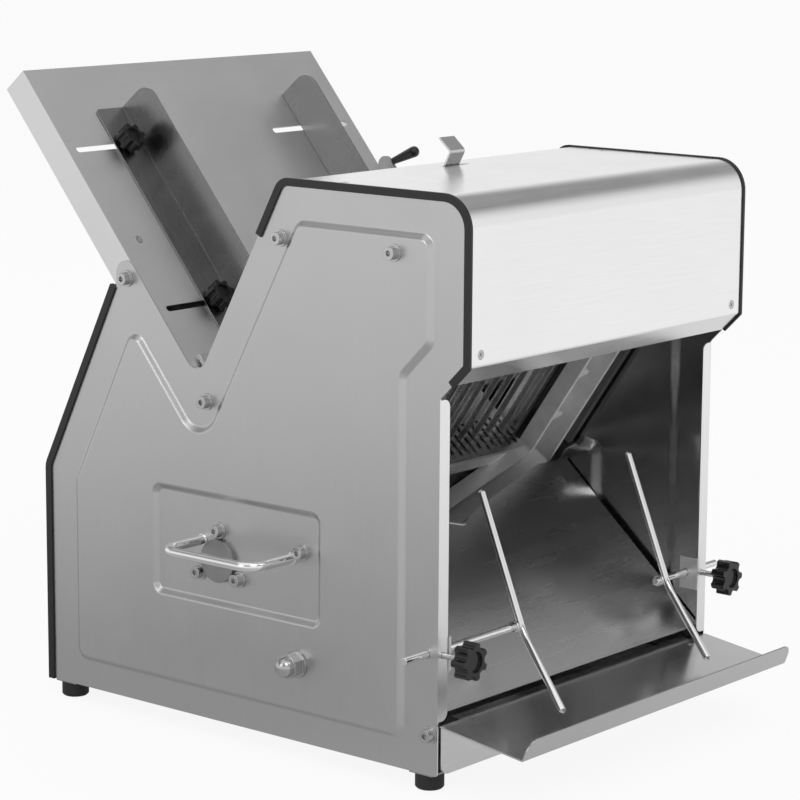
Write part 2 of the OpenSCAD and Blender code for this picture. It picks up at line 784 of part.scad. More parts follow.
// Blade frames: distances along the blades are given at half stroke
frame_gap = 11.5;
window_low_s = 82.7;
window_high_s = 395.7;
frame_high_s = 425.7;
pocket_half = 28;
pocket_s = -50;
pocket_wall = 12;
pocket_drop = 30;
member_tan = tan(member_slope);
member_s = window_low_s - window_half * member_tan;
frame_r = 7;
rail_low_s = 56.7;
rail_h = 14;
rail_face = 4.5;
rail_slot_d = 5;
rail_slot_w = blade_t + 4 * run_gap;
yoke_in = 5.5;
yoke_out = 18.5;
yoke_wall = 6;
pin_r = 7;
roller_r = 11;
yoke_reach = crank_r + roller_r + over;
yoke_h = roller_r + 0.21 * crank_r + slide_gap * 2;
rib_count = 5;
rib_low_s = 133.7;
rib_reach = 18;
rib_top = inner_wall_d - 1;
shoe_low_s = [140, 340];
shoe_len = 50;
shoe_m0 = 21;
shoe_m1 = 33;
shoe_out = 226;
function window_side(side) = [
    [side * window_half, window_high_s, frame_r], [side * window_half, window_low_s, frame_r],
    [side * pocket_half, member_s + pocket_half * member_tan, 0], [side * pocket_half, pocket_s, frame_r]
];
function outer_side(side) = [
    [side * frame_half, frame_high_s, frame_r],
    [side * frame_half, member_s + frame_half * member_tan - member_d, frame_r],
    [side * (pocket_half + 3 * pocket_wall), member_s + (pocket_half + 3 * pocket_wall) * member_tan
        - member_d, frame_r],
    [side * (pocket_half + pocket_wall), pocket_s - pocket_drop, frame_r]
];
window_corners = concat(reversed(window_side(1)), window_side(-1));
outer_corners = concat(reversed(outer_side(1)), outer_side(-1));
// Frame casting with the blade slots of the blades numbered in the list
module blade_frame(numbers) {
    translate([0, 0, frame_gap]) {
        linear_extrude(frame_wall) difference() {
            polygon(rounded(outer_corners));
            polygon(rounded(window_corners));
        }
        linear_extrude(outer_wall_d) difference() {
            polygon(rounded(outer_corners));
            polygon(rounded(inset(outer_corners, same(outer_corners, frame_wall),
                same(outer_corners, frame_r - frame_wall))));
        }
        linear_extrude(inner_wall_d) difference() {
            polygon(rounded(inset(window_corners, same(window_corners, -frame_wall),
                same(window_corners, frame_r))));
            polygon(rounded(window_corners));
        }
        for (side = [-1, 1], i = [0 : rib_count - 1])
            translate([0, rib_low_s + i * rib_pitch + frame_wall, 0]) rotate([90, 0, 0])
                linear_extrude(frame_wall) polygon([
                    [side * (window_half + frame_wall / 2), frame_wall / 2],
                    [side * (window_half + rib_reach), frame_wall / 2],
                    [side * (window_half + rib_reach / 2), rib_top],
                    [side * (window_half + frame_wall / 2), rib_top]
                ]);
    }
    difference() {
        for (s = [rail_low_s, window_high_s])
            block([-window_half - frame_wall, s, rail_face],
                [window_half + frame_wall, s + rail_h, frame_gap + frame_wall]);
        for (i = numbers, s = [rail_low_s, window_high_s])
            translate([i * blade_pitch - rail_slot_w / 2, s - over, rail_face - over])
                cube([rail_slot_w, rail_h + 2 * over, rail_slot_d + over]);
    }
    difference() {
        block([yoke_in, -yoke_h - yoke_wall, -yoke_reach - yoke_wall],
            [yoke_out, yoke_h + yoke_wall, yoke_reach + yoke_wall]);
        block([yoke_in - over, -yoke_h, -yoke_reach], [yoke_out + over, yoke_h, yoke_reach]);
    }
    block([yoke_in, pocket_s - frame_wall, frame_gap], [yoke_out, -yoke_h, yoke_reach + yoke_wall]);
}
odd_blades = [for (i = [-blades_each_side : 2 : blades_each_side]) i];
even_blades = [for (i = [-blades_each_side + 1 : 2 : blades_each_side - 1]) i];
module front_blade_frame() {
    color("lightgrey") placed() on_blades(crank_r) blade_frame(odd_blades);
}
module rear_blade_frame() {
    color("lightgrey") placed() on_blades(-crank_r) mirror([0, 0, 1]) mirror([1, 0, 0])
        blade_frame(even_blades);
}

// Blades with a waved cutting edge; the front set has tabs into its rails
wave_pitch = 12;
wave_d = 1.6;
blade_low_s = rail_low_s + 2;
blade_high_s = window_high_s + rail_h - 2;
wave_count = floor((blade_high_s - blade_low_s) / wave_pitch);
// Back edge at m, cutting edge a blade width behind it
function blade_shape(m, tab) = concat(
    [
        [blade_low_s, m - blade_w], [blade_low_s, m + tab], [blade_low_s + rail_h - 4, m + tab],
        [blade_low_s + rail_h - 4, m], [blade_high_s - rail_h + 4, m],
        [blade_high_s - rail_h + 4, m + tab], [blade_high_s, m + tab], [blade_high_s, m - blade_w]
    ],
    [
        for (i = [wave_count - 1 : -1 : 1], part = [0.5, -0.5])
            [blade_low_s + (i + part / 2) * wave_pitch, m - blade_w + (part > 0 ? 0 : wave_d)]
    ]
);
module blade_set(numbers, m, tab) {
    for (i = numbers) translate([i * blade_pitch - blade_t / 2, 0, 0]) rotate([90, 0, 90])
        linear_extrude(blade_t) polygon(blade_shape(m, tab));
}
module front_blades() {
    color("white") placed() on_blades(crank_r) blade_set(odd_blades, rail_face, rail_slot_d - run_gap);
}
module rear_blades() {
    color("white") placed() on_blades(-crank_r)
        blade_set(even_blades, blade_w - rail_face - rail_slot_d + run_gap, 0);
}

// Slide shoes of the frames and the grooved rails on the panels
module frame_shoes() {
    both_sides() for (s = shoe_low_s)
        block([frame_half, s, shoe_m0], [shoe_out, s + shoe_len, shoe_m1]);
}
module front_shoes() {
    color("white") placed() on_blades(crank_r) frame_shoes();
}
module rear_shoes() {
    color("white") placed() on_blades(-crank_r) mirror([0, 0, 1]) frame_shoes();
}
rail_top_s = 437;
rail_foot_s = 118;
rail_m = 48.6;
rail_base_x = shoe_out + slide_gap;
rail_leg_x = frame_half + slide_gap * 2;
module guide_rails() {
    color("dimgrey") placed() both_sides() difference() {
        on_blades() difference() {
            block([rail_leg_x, rail_foot_s, -rail_m], [inner_half, rail_top_s, rail_m]);
            for (side = [-1, 1]) {
                m0 = side > 0 ? shoe_m0 - slide_gap : -shoe_m1 - slide_gap;
                block([rail_leg_x - over, rail_foot_s - over, m0],
                    [rail_base_x, rail_top_s + over, m0 + shoe_m1 - shoe_m0 + 2 * slide_gap]);
            }
        }
        x_rod(guide_bolt, bolt_r, frame_half, half_w);
    }
}

// Crankshaft in three webs, with one pin for each frame
web_in = 3.5;
web_out0 = 20.5;
web_out1 = 26;
web_r = 22;
shaft_end = half_w + 2;
module crankshaft() {
    color("lightgrey") placed() translate([0, crank_y, crank_z]) rotate([blade_angle, 0, 0]) {
        both_sides() {
            x_rod([0, 0], shaft_r, web_out1, shaft_end);
            x_rod([0, 0], web_r, web_out0, web_out1);
        }
        x_rod([0, 0], web_r, -web_in, web_in);
        x_rod([crank_r, 0], pin_r, web_in, web_out0);
        x_rod([-crank_r, 0], pin_r, -web_out0, -web_in);
    }
}
module crank_rollers() {
    color("gold") placed() on_blades() for (side = [-1, 1]) translate([0, side * crank_r, 0])
        difference() {
            x_rod([0, 0], roller_r, side > 0 ? yoke_in : -yoke_out, side > 0 ? yoke_out : -yoke_in);
            x_rod([0, 0], pin_r + run_gap, -web_out0, web_out0);
        }
}

// Flange bearings inside the panels and the caps outside
housing_t = 12;
housing_r = 39;
cap_r = 22.6;
cap_t = 5;
bearing_r = 26;
cap_bolts = [for (a = [90, 210, 330]) crank_at + at(a) * cap_bolt_r];
module bearing_housings() {
    color("dimgrey") placed() both_sides() difference() {
        union() {
            x_rod(crank_at, housing_r, inner_half - housing_t / 3, inner_half);
            x_rod(crank_at, bearing_r, inner_half - housing_t, inner_half);
        }
        x_rod(crank_at, shaft_r + run_gap, 0, half_w);
        for (p = cap_bolts) x_rod(p, bolt_r, 0, half_w);
    }
}
module bearing_caps() {
    color("silver") placed() both_sides() difference() {
        x_rod(crank_at, cap_r, half_w, half_w + cap_t);
        x_rod(crank_at, shaft_r + slide_gap, 0, shaft_end + slide_gap);
    }
}

// Pulleys with a vee groove, the motor and the belt
pulley_x = 200;
small_r = pulley_r / pulley_ratio;
groove_d = 6;
groove_w = 8;
motor_x0 = 24;
motor_shaft_r = 7;
hub_r = 13;
module groove_profile(r) polygon([
    [0, 0], [r, 0], [r, pulley_w / 2 - groove_w / 2], [r - groove_d, pulley_w / 2 - groove_w / 4],
    [r - groove_d, pulley_w / 2 + groove_w / 4], [r, pulley_w / 2 + groove_w / 2], [r, pulley_w],
    [0, pulley_w]
]);
module pulley(p, r) translate([pulley_x, p[0], p[1]]) rotate([0, 90, 0]) rotate_extrude() groove_profile(r);
motor_at = [motor_y, motor_z];
module large_pulley() {
    color("grey") placed() difference() {
        pulley(crank_at, pulley_r);
        x_rod(crank_at, shaft_r, 0, half_w);
        for (a = [0 : 60 : 300])
            x_rod(crank_at + at(a) * (pulley_r + shaft_r - groove_d) / 2, groove_d, 0, half_w);
    }
}
motor_fins = 20;
fin_h = 3;
fin_w = 3;
bell_len = 22;
module motor() {
    color("steelblue") placed() difference() {
        union() {
            x_rod(motor_at, motor_r - fin_h, motor_x0, motor_x0 + motor_len);
            x_rod(motor_at, motor_r, motor_x0, motor_x0 + bell_len);
            x_rod(motor_at, motor_r, motor_x0 + motor_len - bell_len, motor_x0 + motor_len);
            translate([motor_x0 + bell_len, motor_y, motor_z]) rotate([0, 90, 0])
                linear_extrude(motor_len - 2 * bell_len) for (i = [0 : motor_fins - 1])
                    rotate(i * 360 / motor_fins) translate([0, -fin_w / 2]) square([motor_r, fin_w]);
        }
        x_rod(motor_at, motor_shaft_r + run_gap, motor_x0 + motor_len - bell_len, half_w);
    }
}
module motor_pulley() {
    color("grey") placed() {
        pulley(motor_at, small_r);
        x_rod(motor_at, motor_shaft_r, motor_x0 + motor_len - bell_len, pulley_x);
        x_rod(motor_at, hub_r, motor_x0 + motor_len + 2 * over, pulley_x);
    }
}
cradle_t = 4;
cradle_foot = 52;
module motor_mount() {
    color("grey") placed() difference() {
        union() {
            block([motor_x0 + bell_len, motor_y - cradle_foot, sheet_t],
                [motor_x0 + motor_len - bell_len, motor_y + cradle_foot, sheet_t + cradle_t]);
            for (x = [motor_x0 + bell_len / 2, motor_x0 + motor_len - bell_len / 2 - cradle_t])
                block([x, motor_y - cradle_foot, sheet_t], [x + cradle_t, motor_y + cradle_foot,
                    motor_z - motor_r / 2]);
            for (x = [motor_x0 + bell_len / 2, motor_x0 + motor_len - bell_len])
                block([x, motor_y - cradle_foot, sheet_t], [x + bell_len / 2, motor_y + cradle_foot,
                    sheet_t + cradle_t]);
        }
        x_rod(motor_at, motor_r, motor_x0, motor_x0 + motor_len);
    }
}
belt_t = groove_d - 2 * slide_gap;
belt_dir = dir(motor_at, crank_at);
belt_angle = atan2(belt_dir[1], belt_dir[0]);
belt_tilt = asin((pulley_r - small_r) / norm(crank_at - motor_at));
belt_steps = 24;
// Closed line of the belt, at a depth below its outer face
function belt_line(depth) = concat(
    [
        for (i = [0 : belt_steps], a = belt_angle - 90 - belt_tilt + i * (180 + 2 * belt_tilt) / belt_steps)
            crank_at + at(a) * (pulley_r - depth)
    ],
    [
        for (i = [0 : belt_steps], a = belt_angle + 90 + belt_tilt + i * (180 - 2 * belt_tilt) / belt_steps)
            motor_at + at(a) * (small_r - depth)
    ]
);
module drive_belt() {
    color("black") placed() across(pulley_x + pulley_w / 2 - groove_w / 4 + slide_gap,
            pulley_x + pulley_w / 2 + groove_w / 4 - slide_gap) difference() {
        polygon(belt_line(0));
        polygon(belt_line(belt_t));
    }
}

// Loaf guides: a foot on the board and an upright flange with a rounded upper corner
guide_r = 20;
guide_low_r = 6;
guide_hole_x = guide_foot_w * 0.645;
stud_r = 3;
module loaf_guide(x, side) {
    color("gainsboro") placed() on_board() translate([x, 0, slide_gap]) difference() {
        union() {
            linear_extrude(sheet_t) polygon(rounded([
                [0, guide_low_u, 0], [side * guide_foot_w, guide_low_u, guide_low_r],
                [side * guide_foot_w, guide_low_u + guide_len, guide_low_r], [0, guide_low_u + guide_len, 0]
            ]));
            across(side < 0 ? -sheet_t : 0, side < 0 ? 0 : sheet_t) polygon(rounded([
                [guide_low_u, 0, 0], [guide_low_u + guide_len, 0, 0],
                [guide_low_u + guide_len, guide_h, guide_r], [guide_low_u, guide_h, guide_low_r]
            ]));
        }
        for (u = [slot_low_u, slot_high_u]) translate([side * guide_hole_x, u, -over])
            cylinder(r = stud_r + slide_gap, h = sheet_t + 2 * over);
    }
}
module loaf_guide_left() loaf_guide(guide_left_x, -1);
module loaf_guide_right() loaf_guide(guide_right_x, 1);
head_half = 5.5;
head_t = 5;
guide_stud_h = 13;
module guide_bolts(x) {
    color("silver") placed() on_board() for (u = [slot_low_u, slot_high_u]) translate([x, u, 0]) {
        block([-head_half, -head_half, -sheet_t - slide_gap - head_t],
            [head_half, head_half, -sheet_t - slide_gap]);
        translate([0, 0, -sheet_t - slide_gap]) cylinder(r = stud_r, h = sheet_t + slide_gap + guide_stud_h);
    }
}
left_stud_x = guide_left_x - guide_hole_x;
right_stud_x = guide_right_x + guide_hole_x;
module guide_bolts_left() guide_bolts(left_stud_x);
module guide_bolts_right() guide_bolts(right_stud_x);

// Star knob round the axis Z, its face up
knob_h = 14;
module star_knob(r, h, lobes, stem_r) {
    lobe_r = r * sin(180 / lobes) * 0.74;
    hollow_r = r * sin(180 / lobes) * 0.6;
    difference() {
        linear_extrude(h) difference() {
            union() {
                circle(r = r - lobe_r);
                for (i = [0 : lobes - 1])
                    rotate(i * 360 / lobes) translate([r - lobe_r, 0]) circle(r = lobe_r);
            }
            for (i = [0 : lobes - 1])
                rotate((i + 0.5) * 360 / lobes) translate([r, 0]) circle(r = hollow_r);
        }
        translate([0, 0, h * 0.82]) cylinder(r = r * 0.55, h = h);
    }
    translate([0, 0, -h * 0.25]) cylinder(r = stem_r, h = h * 0.25);
}
knob_lobes = 7;
stem_r = 7;
module guide_knob(x, u) {
    color("black") placed() on_board() difference() {
        translate([x, u, slide_gap + sheet_t + slide_gap + knob_h * 0.25])
            star_knob(knob_r, knob_h, knob_lobes, stem_r);
        translate([x, u, 0]) cylinder(r = stud_r + run_gap, h = guide_stud_h + slide_gap);
    }
}
module guide_knob_left_high() guide_knob(left_stud_x, slot_high_u);
module guide_knob_left_low() guide_knob(left_stud_x, slot_low_u);
module guide_knob_right_high() guide_knob(right_stud_x, slot_high_u);
module guide_knob_right_low() guide_knob(right_stud_x, slot_low_u);

// Crossbars and the wires that steady the slices
bar_in_past = 9;
module crossbar(x0, x1) color("white") placed() x_rod(bar_at, wire_r, x0, x1);
module wire_crossbar_left() crossbar(-bar_left_out, wire_left_x + bar_in_past);
module wire_crossbar_right() crossbar(wire_right_x - bar_in_past, bar_right_out);
bend_drop = 5.5;
bend_r = 36;
bend_lap = 0.5;
wire_tip = 0.6 * wire_r;
bend_reach = bend_r * tan(wire_bend / 2);
wire_front = (2 * wire_r + slide_gap + bend_drop * sin(wire_up_lean)) / cos(wire_up_lean);
eye_r = wire_r + 2;
eye_half = 5;
// Straight wire along the second axis with a chamfered far end
module wire_leg(start, end) translate([0, start, 0]) rotate([-90, 0, 0]) {
    cylinder(r = wire_r, h = end - start - wire_tip);
    translate([0, 0, end - start - wire_tip]) cylinder(r1 = wire_r, r2 = wire_r - wire_tip, h = wire_tip);
}
// Bent wire with an eye that turns on its crossbar
module wire_guide(x) {
    color("white") placed() difference() {
        union() {
            x_rod(bar_at, eye_r, x - eye_half, x + eye_half);
            translate([x, bar_y - wire_front, bar_z - bend_drop]) rotate([90, 0, 90]) rotate(-wire_up_lean) {
                wire_leg(bend_reach - bend_lap, wire_up_len);
                rotate([0, -wire_turn, 0]) {
                    translate([-bend_r, bend_reach, 0]) rotate(-wire_bend) rotate_extrude(angle = wire_bend)
                        translate([bend_r, 0]) circle(r = wire_r - run_gap);
                    rotate(-wire_bend) mirror([0, 1, 0]) wire_leg(bend_reach - bend_lap, wire_low_len);
                }
            }
        }
        x_rod(bar_at, wire_r + run_gap, x - eye_half - over, x + eye_half + over);
    }
}
module wire_guide_left() wire_guide(wire_left_x);
module wire_guide_right() wire_guide(wire_right_x);

// Brackets and knobs that clamp the crossbars
clamp_x = 222;
clamp_in = 211.5;
clamp_h = 35;
clamp_t = 3;
clamp_back = 21;
clamp_knob_r = 19;
clamp_knob_h = 16;
clamp_knob_y = -24;
module clamp_brackets() {
    color("silver") placed() both_sides() difference() {
        union() {
            block([clamp_in, -sheet_t, bar_z - clamp_h / 2],
                [clamp_in + clamp_t, clamp_back, bar_z + clamp_h / 2]);
            block([clamp_in, sheet_t, bar_z - clamp_h / 2],
                [inner_half - over, sheet_t + clamp_t, bar_z + clamp_h / 2]);
        }
        x_rod(bar_at, wire_r + slide_gap, 0, half_w);
        translate([clamp_x, bar_y, bar_z]) rotate([90, 0, 0])
            cylinder(r = stud_r + slide_gap, h = bar_y * 2);
    }
}
module clamp_knob() {
    stud_len = bar_y - wire_r - slide_gap - clamp_knob_y;
    color("black") placed() translate([clamp_x, clamp_knob_y, bar_z]) rotate([90, 0, 0]) {
        star_knob(clamp_knob_r, clamp_knob_h, knob_lobes, stem_r);
        translate([0, 0, -stud_len]) cylinder(r = stud_r, h = stud_len);
    }
}
module clamp_knob_right() clamp_knob();
module clamp_knob_left() mirror([1, 0, 0]) clamp_knob();

// Carry handles, bent from round rod, with a collar at each foot
handle_bend = 18;
collar_r = 6.3;
collar_t = 1.2;
module handle_rod() {
    for (side = [-1, 1]) translate([0, side * handle_span / 2, 0]) {
        x_rod([0, 0], handle_r, 0, handle_out - handle_bend);
        x_rod([0, 0], collar_r, 0, collar_t);
        translate([handle_out - handle_bend, -side * handle_bend, 0]) rotate(side > 0 ? 0 : -90)
            rotate_extrude(angle = 90) translate([handle_bend, 0]) circle(r = handle_r);
    }
    translate([handle_out, handle_span / 2 - handle_bend, 0]) rotate([90, 0, 0])
        cylinder(r = handle_r, h = handle_span - 2 * handle_bend);
}
module carry_handles() {
    color("white") placed() both_sides() translate([half_w, handle_y, handle_z]) handle_rod();
}

// Hold-down plate behind the hood and the channels that guide it
hold_half = 218;
hold_t = 2;
tab_half = 12;
tab_x = -20;
hold_low = hold_travel + 10;
tab_rise = 17;
tab_back = 19;
hold_channel = 6;
rail_end = 16;
hold_slide_low = hold_low + hold_len;
tab_turn = 77;
tab_bend_r = 2;
module hold_down_plate() {
    color("silver") placed() on_slide() {
        translate([0, 0, -hold_t / 2]) linear_extrude(hold_t) polygon([
            [-hold_half, -hold_slide_low], [hold_half, -hold_slide_low], [hold_half, -hold_low],
            [tab_x + tab_half, -hold_low], [tab_x + tab_half, 0], [tab_x - tab_half, 0],
            [tab_x - tab_half, -hold_low], [-hold_half, -hold_low]
        ]);
        across(tab_x - tab_half, tab_x + tab_half) polygon(strip([
            [0, -hold_t / 2, 0], [tab_rise, -hold_t / 2, tab_bend_r],
            [tab_rise + cos(tab_turn) * tab_back, -hold_t / 2 - sin(tab_turn) * tab_back, 0]
        ], hold_t));
    }
}
module hold_down_rails() {
    color("grey") placed() both_sides() difference() {
        on_slide() difference() {
            block([inner_half - 2 * hold_channel, -hold_slide_low, -hold_bolt_back - washer_r],
                [inner_half, -rail_end, hold_t / 2 + slide_gap + sheet_t]);
            block([inner_half - 2 * hold_channel - over, -hold_slide_low - over, -hold_t / 2 - slide_gap],
                [hold_half + slide_gap, 0, hold_t / 2 + slide_gap]);
        }
        x_rod(hold_bolt, bolt_r, 0, half_w);
    }
}

// Push lever outside the right panel, its grip and the paddle inside
lever_x = 242;
lever_t = 4;
lever_w = 20;
lever_hub_r = 12;
grip_turn = 107;
grip_root_w = 8;
grip_end_w = 13;
tang_len = 26;
tang_w = 5;
grip_root_s = 12.4;
module on_pivot() translate([0, pivot_y, pivot_z]) rotate([board_angle, 0, 0]) children();
paddle_x = 214;
paddle_t = 2;
module push_lever() {
    color("silver") placed() on_pivot() {
        x_rod([0, 0], lever_hub_r, half_w + slide_gap, lever_x + lever_t);
        x_rod([0, 0], pivot_pin_r, paddle_x - paddle_t, lever_x);
        across(lever_x, lever_x + lever_t) {
            translate([0, -lever_w / 2]) square([lever_len, lever_w]);
            translate([lever_len, 0]) circle(d = lever_w);
            translate([lever_len, 0]) rotate(grip_turn) translate([0, -tang_w / 2])
                square([tang_len, tang_w]);
        }
    }
}
module lever_grip() {
    color("black") placed() on_pivot() difference() {
        translate([lever_x + lever_t / 2, lever_len, 0]) rotate([grip_turn - 90, 0, 0]) rotate_extrude()
            polygon(concat([[0, grip_root_s], [grip_root_w / 2, grip_root_s]], [
                for (a = [0 : 2 * arc_step : 90])
                    [cos(a) * grip_end_w / 2, grip_len - (1 - sin(a)) * grip_end_w / 2]
            ]));
        translate([lever_x, lever_len, 0]) rotate([grip_turn, 0, 0])
            block([-run_gap, 0, -tang_w / 2 - run_gap],
                [lever_t + run_gap, tang_len + run_gap, tang_w / 2 + run_gap]);
    }
}
paddle_low = 8;
paddle_len = 50;
paddle_lift = 7;
paddle_hub_r = 9;
arm_lift = 3;
module paddle_arm(hole_r) across(paddle_x - paddle_t, paddle_x) difference() {
    union() {
        circle(r = paddle_hub_r);
        polygon([
            [0, arm_lift], [paddle_len, paddle_lift - paddle_t], [paddle_len, paddle_lift],
            [0, paddle_lift]
        ]);
    }
    circle(r = hole_r);
}
module pusher_paddle() {
    color("gainsboro") placed() on_pivot() {
        block([-paddle_x, paddle_low, paddle_lift], [paddle_x, paddle_len, paddle_lift + paddle_t]);
        paddle_arm(pivot_pin_r);
        mirror([1, 0, 0]) paddle_arm(bolt_r + run_gap);
    }
}

// Socket bolts with washers on the panels
bolt_head_r = 6.5;
bolt_head_h = 8;
washer_r = 8.5;
washer_t = 1.6;
socket_r = 3;
bolt_len = 12;
module panel_bolt(p, seat, len) {
    difference() {
        union() {
            x_rod(p, washer_r, seat, seat + washer_t);
            x_rod(p, bolt_head_r, seat, seat + washer_t + bolt_head_h);
            x_rod(p, bolt_r, seat - len, seat);
        }
        translate([seat + washer_t + bolt_head_h / 2, p[0], p[1]]) rotate([0, 90, 0])
            cylinder(r = socket_r, h = bolt_head_h, $fn = 6);
    }
}
module panel_bolts() {
    color("silver") placed() {
        both_sides() {
            for (p = [lug_bolt, [runner_bolt_y, runner_bolt_z]]) panel_bolt(p, half_w, 4 * sheet_t);
            panel_bolt(guide_bolt, half_w + field_out, bolt_len);
            panel_bolt(chute_bolt, half_w, 4 * sheet_t);
            for (p = concat([hold_bolt], cap_bolts)) panel_bolt(p, half_w, bolt_len);
        }
        mirror([1, 0, 0]) panel_bolt(pivot_at, half_w, half_w - paddle_x + 2 * paddle_t);
    }
}

// Tie rod through both panels with dome nuts
nut_r = 13;
nut_h = 11;
tie_washer_r = 14.5;
tie_washer_t = 2.5;
nut_seat = half_w + field_out;
module tie_rod() {
    tie_end = nut_seat + tie_washer_t + nut_h;
    color("silver") placed() x_rod(tie_at, tie_r, -tie_end, tie_end);
}
module acorn_nuts() {
    color("gainsboro") placed() both_sides() translate([nut_seat, tie_at[0], tie_at[1]]) rotate([0, 90, 0])
        difference() {
            union() {
                cylinder(r = tie_washer_r, h = tie_washer_t);
                translate([0, 0, tie_washer_t]) cylinder(r = nut_r, h = nut_h, $fn = 6);
                translate([0, 0, tie_washer_t + nut_h]) cylinder(r = nut_r * 0.8, h = nut_h / 4);
                translate([0, 0, tie_washer_t + nut_h * 1.25]) intersection() {
                    sphere(r = nut_r * 0.8);
                    cylinder(r = nut_r, h = nut_r);
                }
            }
            translate([0, 0, -over]) cylinder(r = tie_r, h = over + tie_washer_t + nut_h);
        }
}

// Switch box on the right panel with a start and a stop button
switch_y = 78;
switch_z = 320;
switch_w = 56;
switch_h = 96;
switch_d = 26;
button_r = 11;
button_gap = 0.4;
button_out = 4;
button_in = 8;
button_pitch = 42;
switch_x = half_w + field_out;
module switch_box() {
    color("dimgrey") placed() difference() {
        translate([0, switch_y, switch_z]) across(switch_x, switch_x + switch_d)
            polygon(rounded(rect(-switch_w / 2, -switch_h / 2, switch_w / 2, switch_h / 2, post_r)));
        for (side = [-1, 1]) x_rod([switch_y, switch_z + side * button_pitch / 2], button_r + button_gap,
            switch_x + switch_d - button_in, switch_x + switch_d + over);
    }
}
module button(side) x_rod([switch_y, switch_z + side * button_pitch / 2], button_r,
    switch_x + switch_d - button_in + button_out, switch_x + switch_d + button_out);
module start_button() color("green") placed() button(1);
module stop_button() color("red") placed() button(-1);

// Gland for the mains lead, low in the rear cover
gland_x = -170;
gland_z = 40;
gland_r = 11;
gland_len = 16;
gland_bore = 4;
module cable_gland() {
    color("black") placed() translate([gland_x, panel_depth + cover_out, gland_z]) rotate([-90, 0, 0])
        difference() {
            union() {
                cylinder(r = gland_r, h = gland_len / 2, $fn = 6);
                translate([0, 0, gland_len / 2]) cylinder(r1 = gland_r * 0.8, r2 = gland_r * 0.6,
                    h = gland_len / 2);
            }
            translate([0, 0, -over]) cylinder(r = gland_bore, h = gland_len + 2 * over);
        }
}

side_panel_left();
side_panel_right();
hood();
edge_trims();
rear_cover();
base_pan();
foot_brackets();
feet();
drawer_runners();
crumb_drawer();
output_tray();
tray_screws();
loading_board();
comb_plate();
output_chute();
sheet_screws();
guide_rails();
front_blade_frame();
rear_blade_frame();
front_blades();
rear_blades();
front_shoes();
rear_shoes();
crankshaft();
crank_rollers();
bearing_housings();
bearing_caps();
large_pulley();
motor();
motor_mount();
motor_pulley();
drive_belt();
loaf_guide_left();
loaf_guide_right();
guide_bolts_left();
guide_bolts_right();
guide_knob_left_high();
guide_knob_left_low();
guide_knob_right_high();
guide_knob_right_low();
wire_crossbar_left();
wire_crossbar_right();
wire_guide_left();
wire_guide_right();
clamp_brackets();
clamp_knob_left();
clamp_knob_right();
carry_handles();
hold_down_rails();
hold_down_plate();
push_lever();
lever_grip();
pusher_paddle();
panel_bolts();
tie_rod();
acorn_nuts();
switch_box();
start_button();
stop_button();
cable_gland();
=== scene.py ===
"""Looks of the commercial bread slicer: studio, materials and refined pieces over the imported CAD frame."""

import json
import math

import bmesh
import bpy
from mathutils import Matrix, Vector


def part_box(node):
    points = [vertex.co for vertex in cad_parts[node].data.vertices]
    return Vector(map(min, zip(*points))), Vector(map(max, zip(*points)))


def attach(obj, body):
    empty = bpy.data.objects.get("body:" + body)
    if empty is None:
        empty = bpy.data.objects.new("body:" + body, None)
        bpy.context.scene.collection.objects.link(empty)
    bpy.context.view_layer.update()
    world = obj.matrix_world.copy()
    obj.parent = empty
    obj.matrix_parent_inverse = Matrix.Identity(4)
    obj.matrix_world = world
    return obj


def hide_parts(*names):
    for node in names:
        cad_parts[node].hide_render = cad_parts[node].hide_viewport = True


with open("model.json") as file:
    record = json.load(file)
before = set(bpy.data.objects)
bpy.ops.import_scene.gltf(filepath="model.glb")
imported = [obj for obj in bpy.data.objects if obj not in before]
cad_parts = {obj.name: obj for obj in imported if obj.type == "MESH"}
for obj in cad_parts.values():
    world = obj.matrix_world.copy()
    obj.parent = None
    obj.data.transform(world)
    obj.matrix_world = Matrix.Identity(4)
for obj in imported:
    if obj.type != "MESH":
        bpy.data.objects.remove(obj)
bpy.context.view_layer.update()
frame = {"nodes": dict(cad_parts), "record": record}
scene = bpy.context.scene
nodes = frame["nodes"]
slot_of = {part["node"]: part["material_slot"] for part in frame["record"]["subparts"]}
body_of = {node: body for body, held in frame["record"]["behaviour"]["bodies"].items() for node in held}

X = Vector((1, 0, 0))
# Points nearer than this, in metres, are one point
SAME = 0.00001
# Most values of a noise lie between these
NOISE_LOW, NOISE_HIGH = 0.3, 0.7


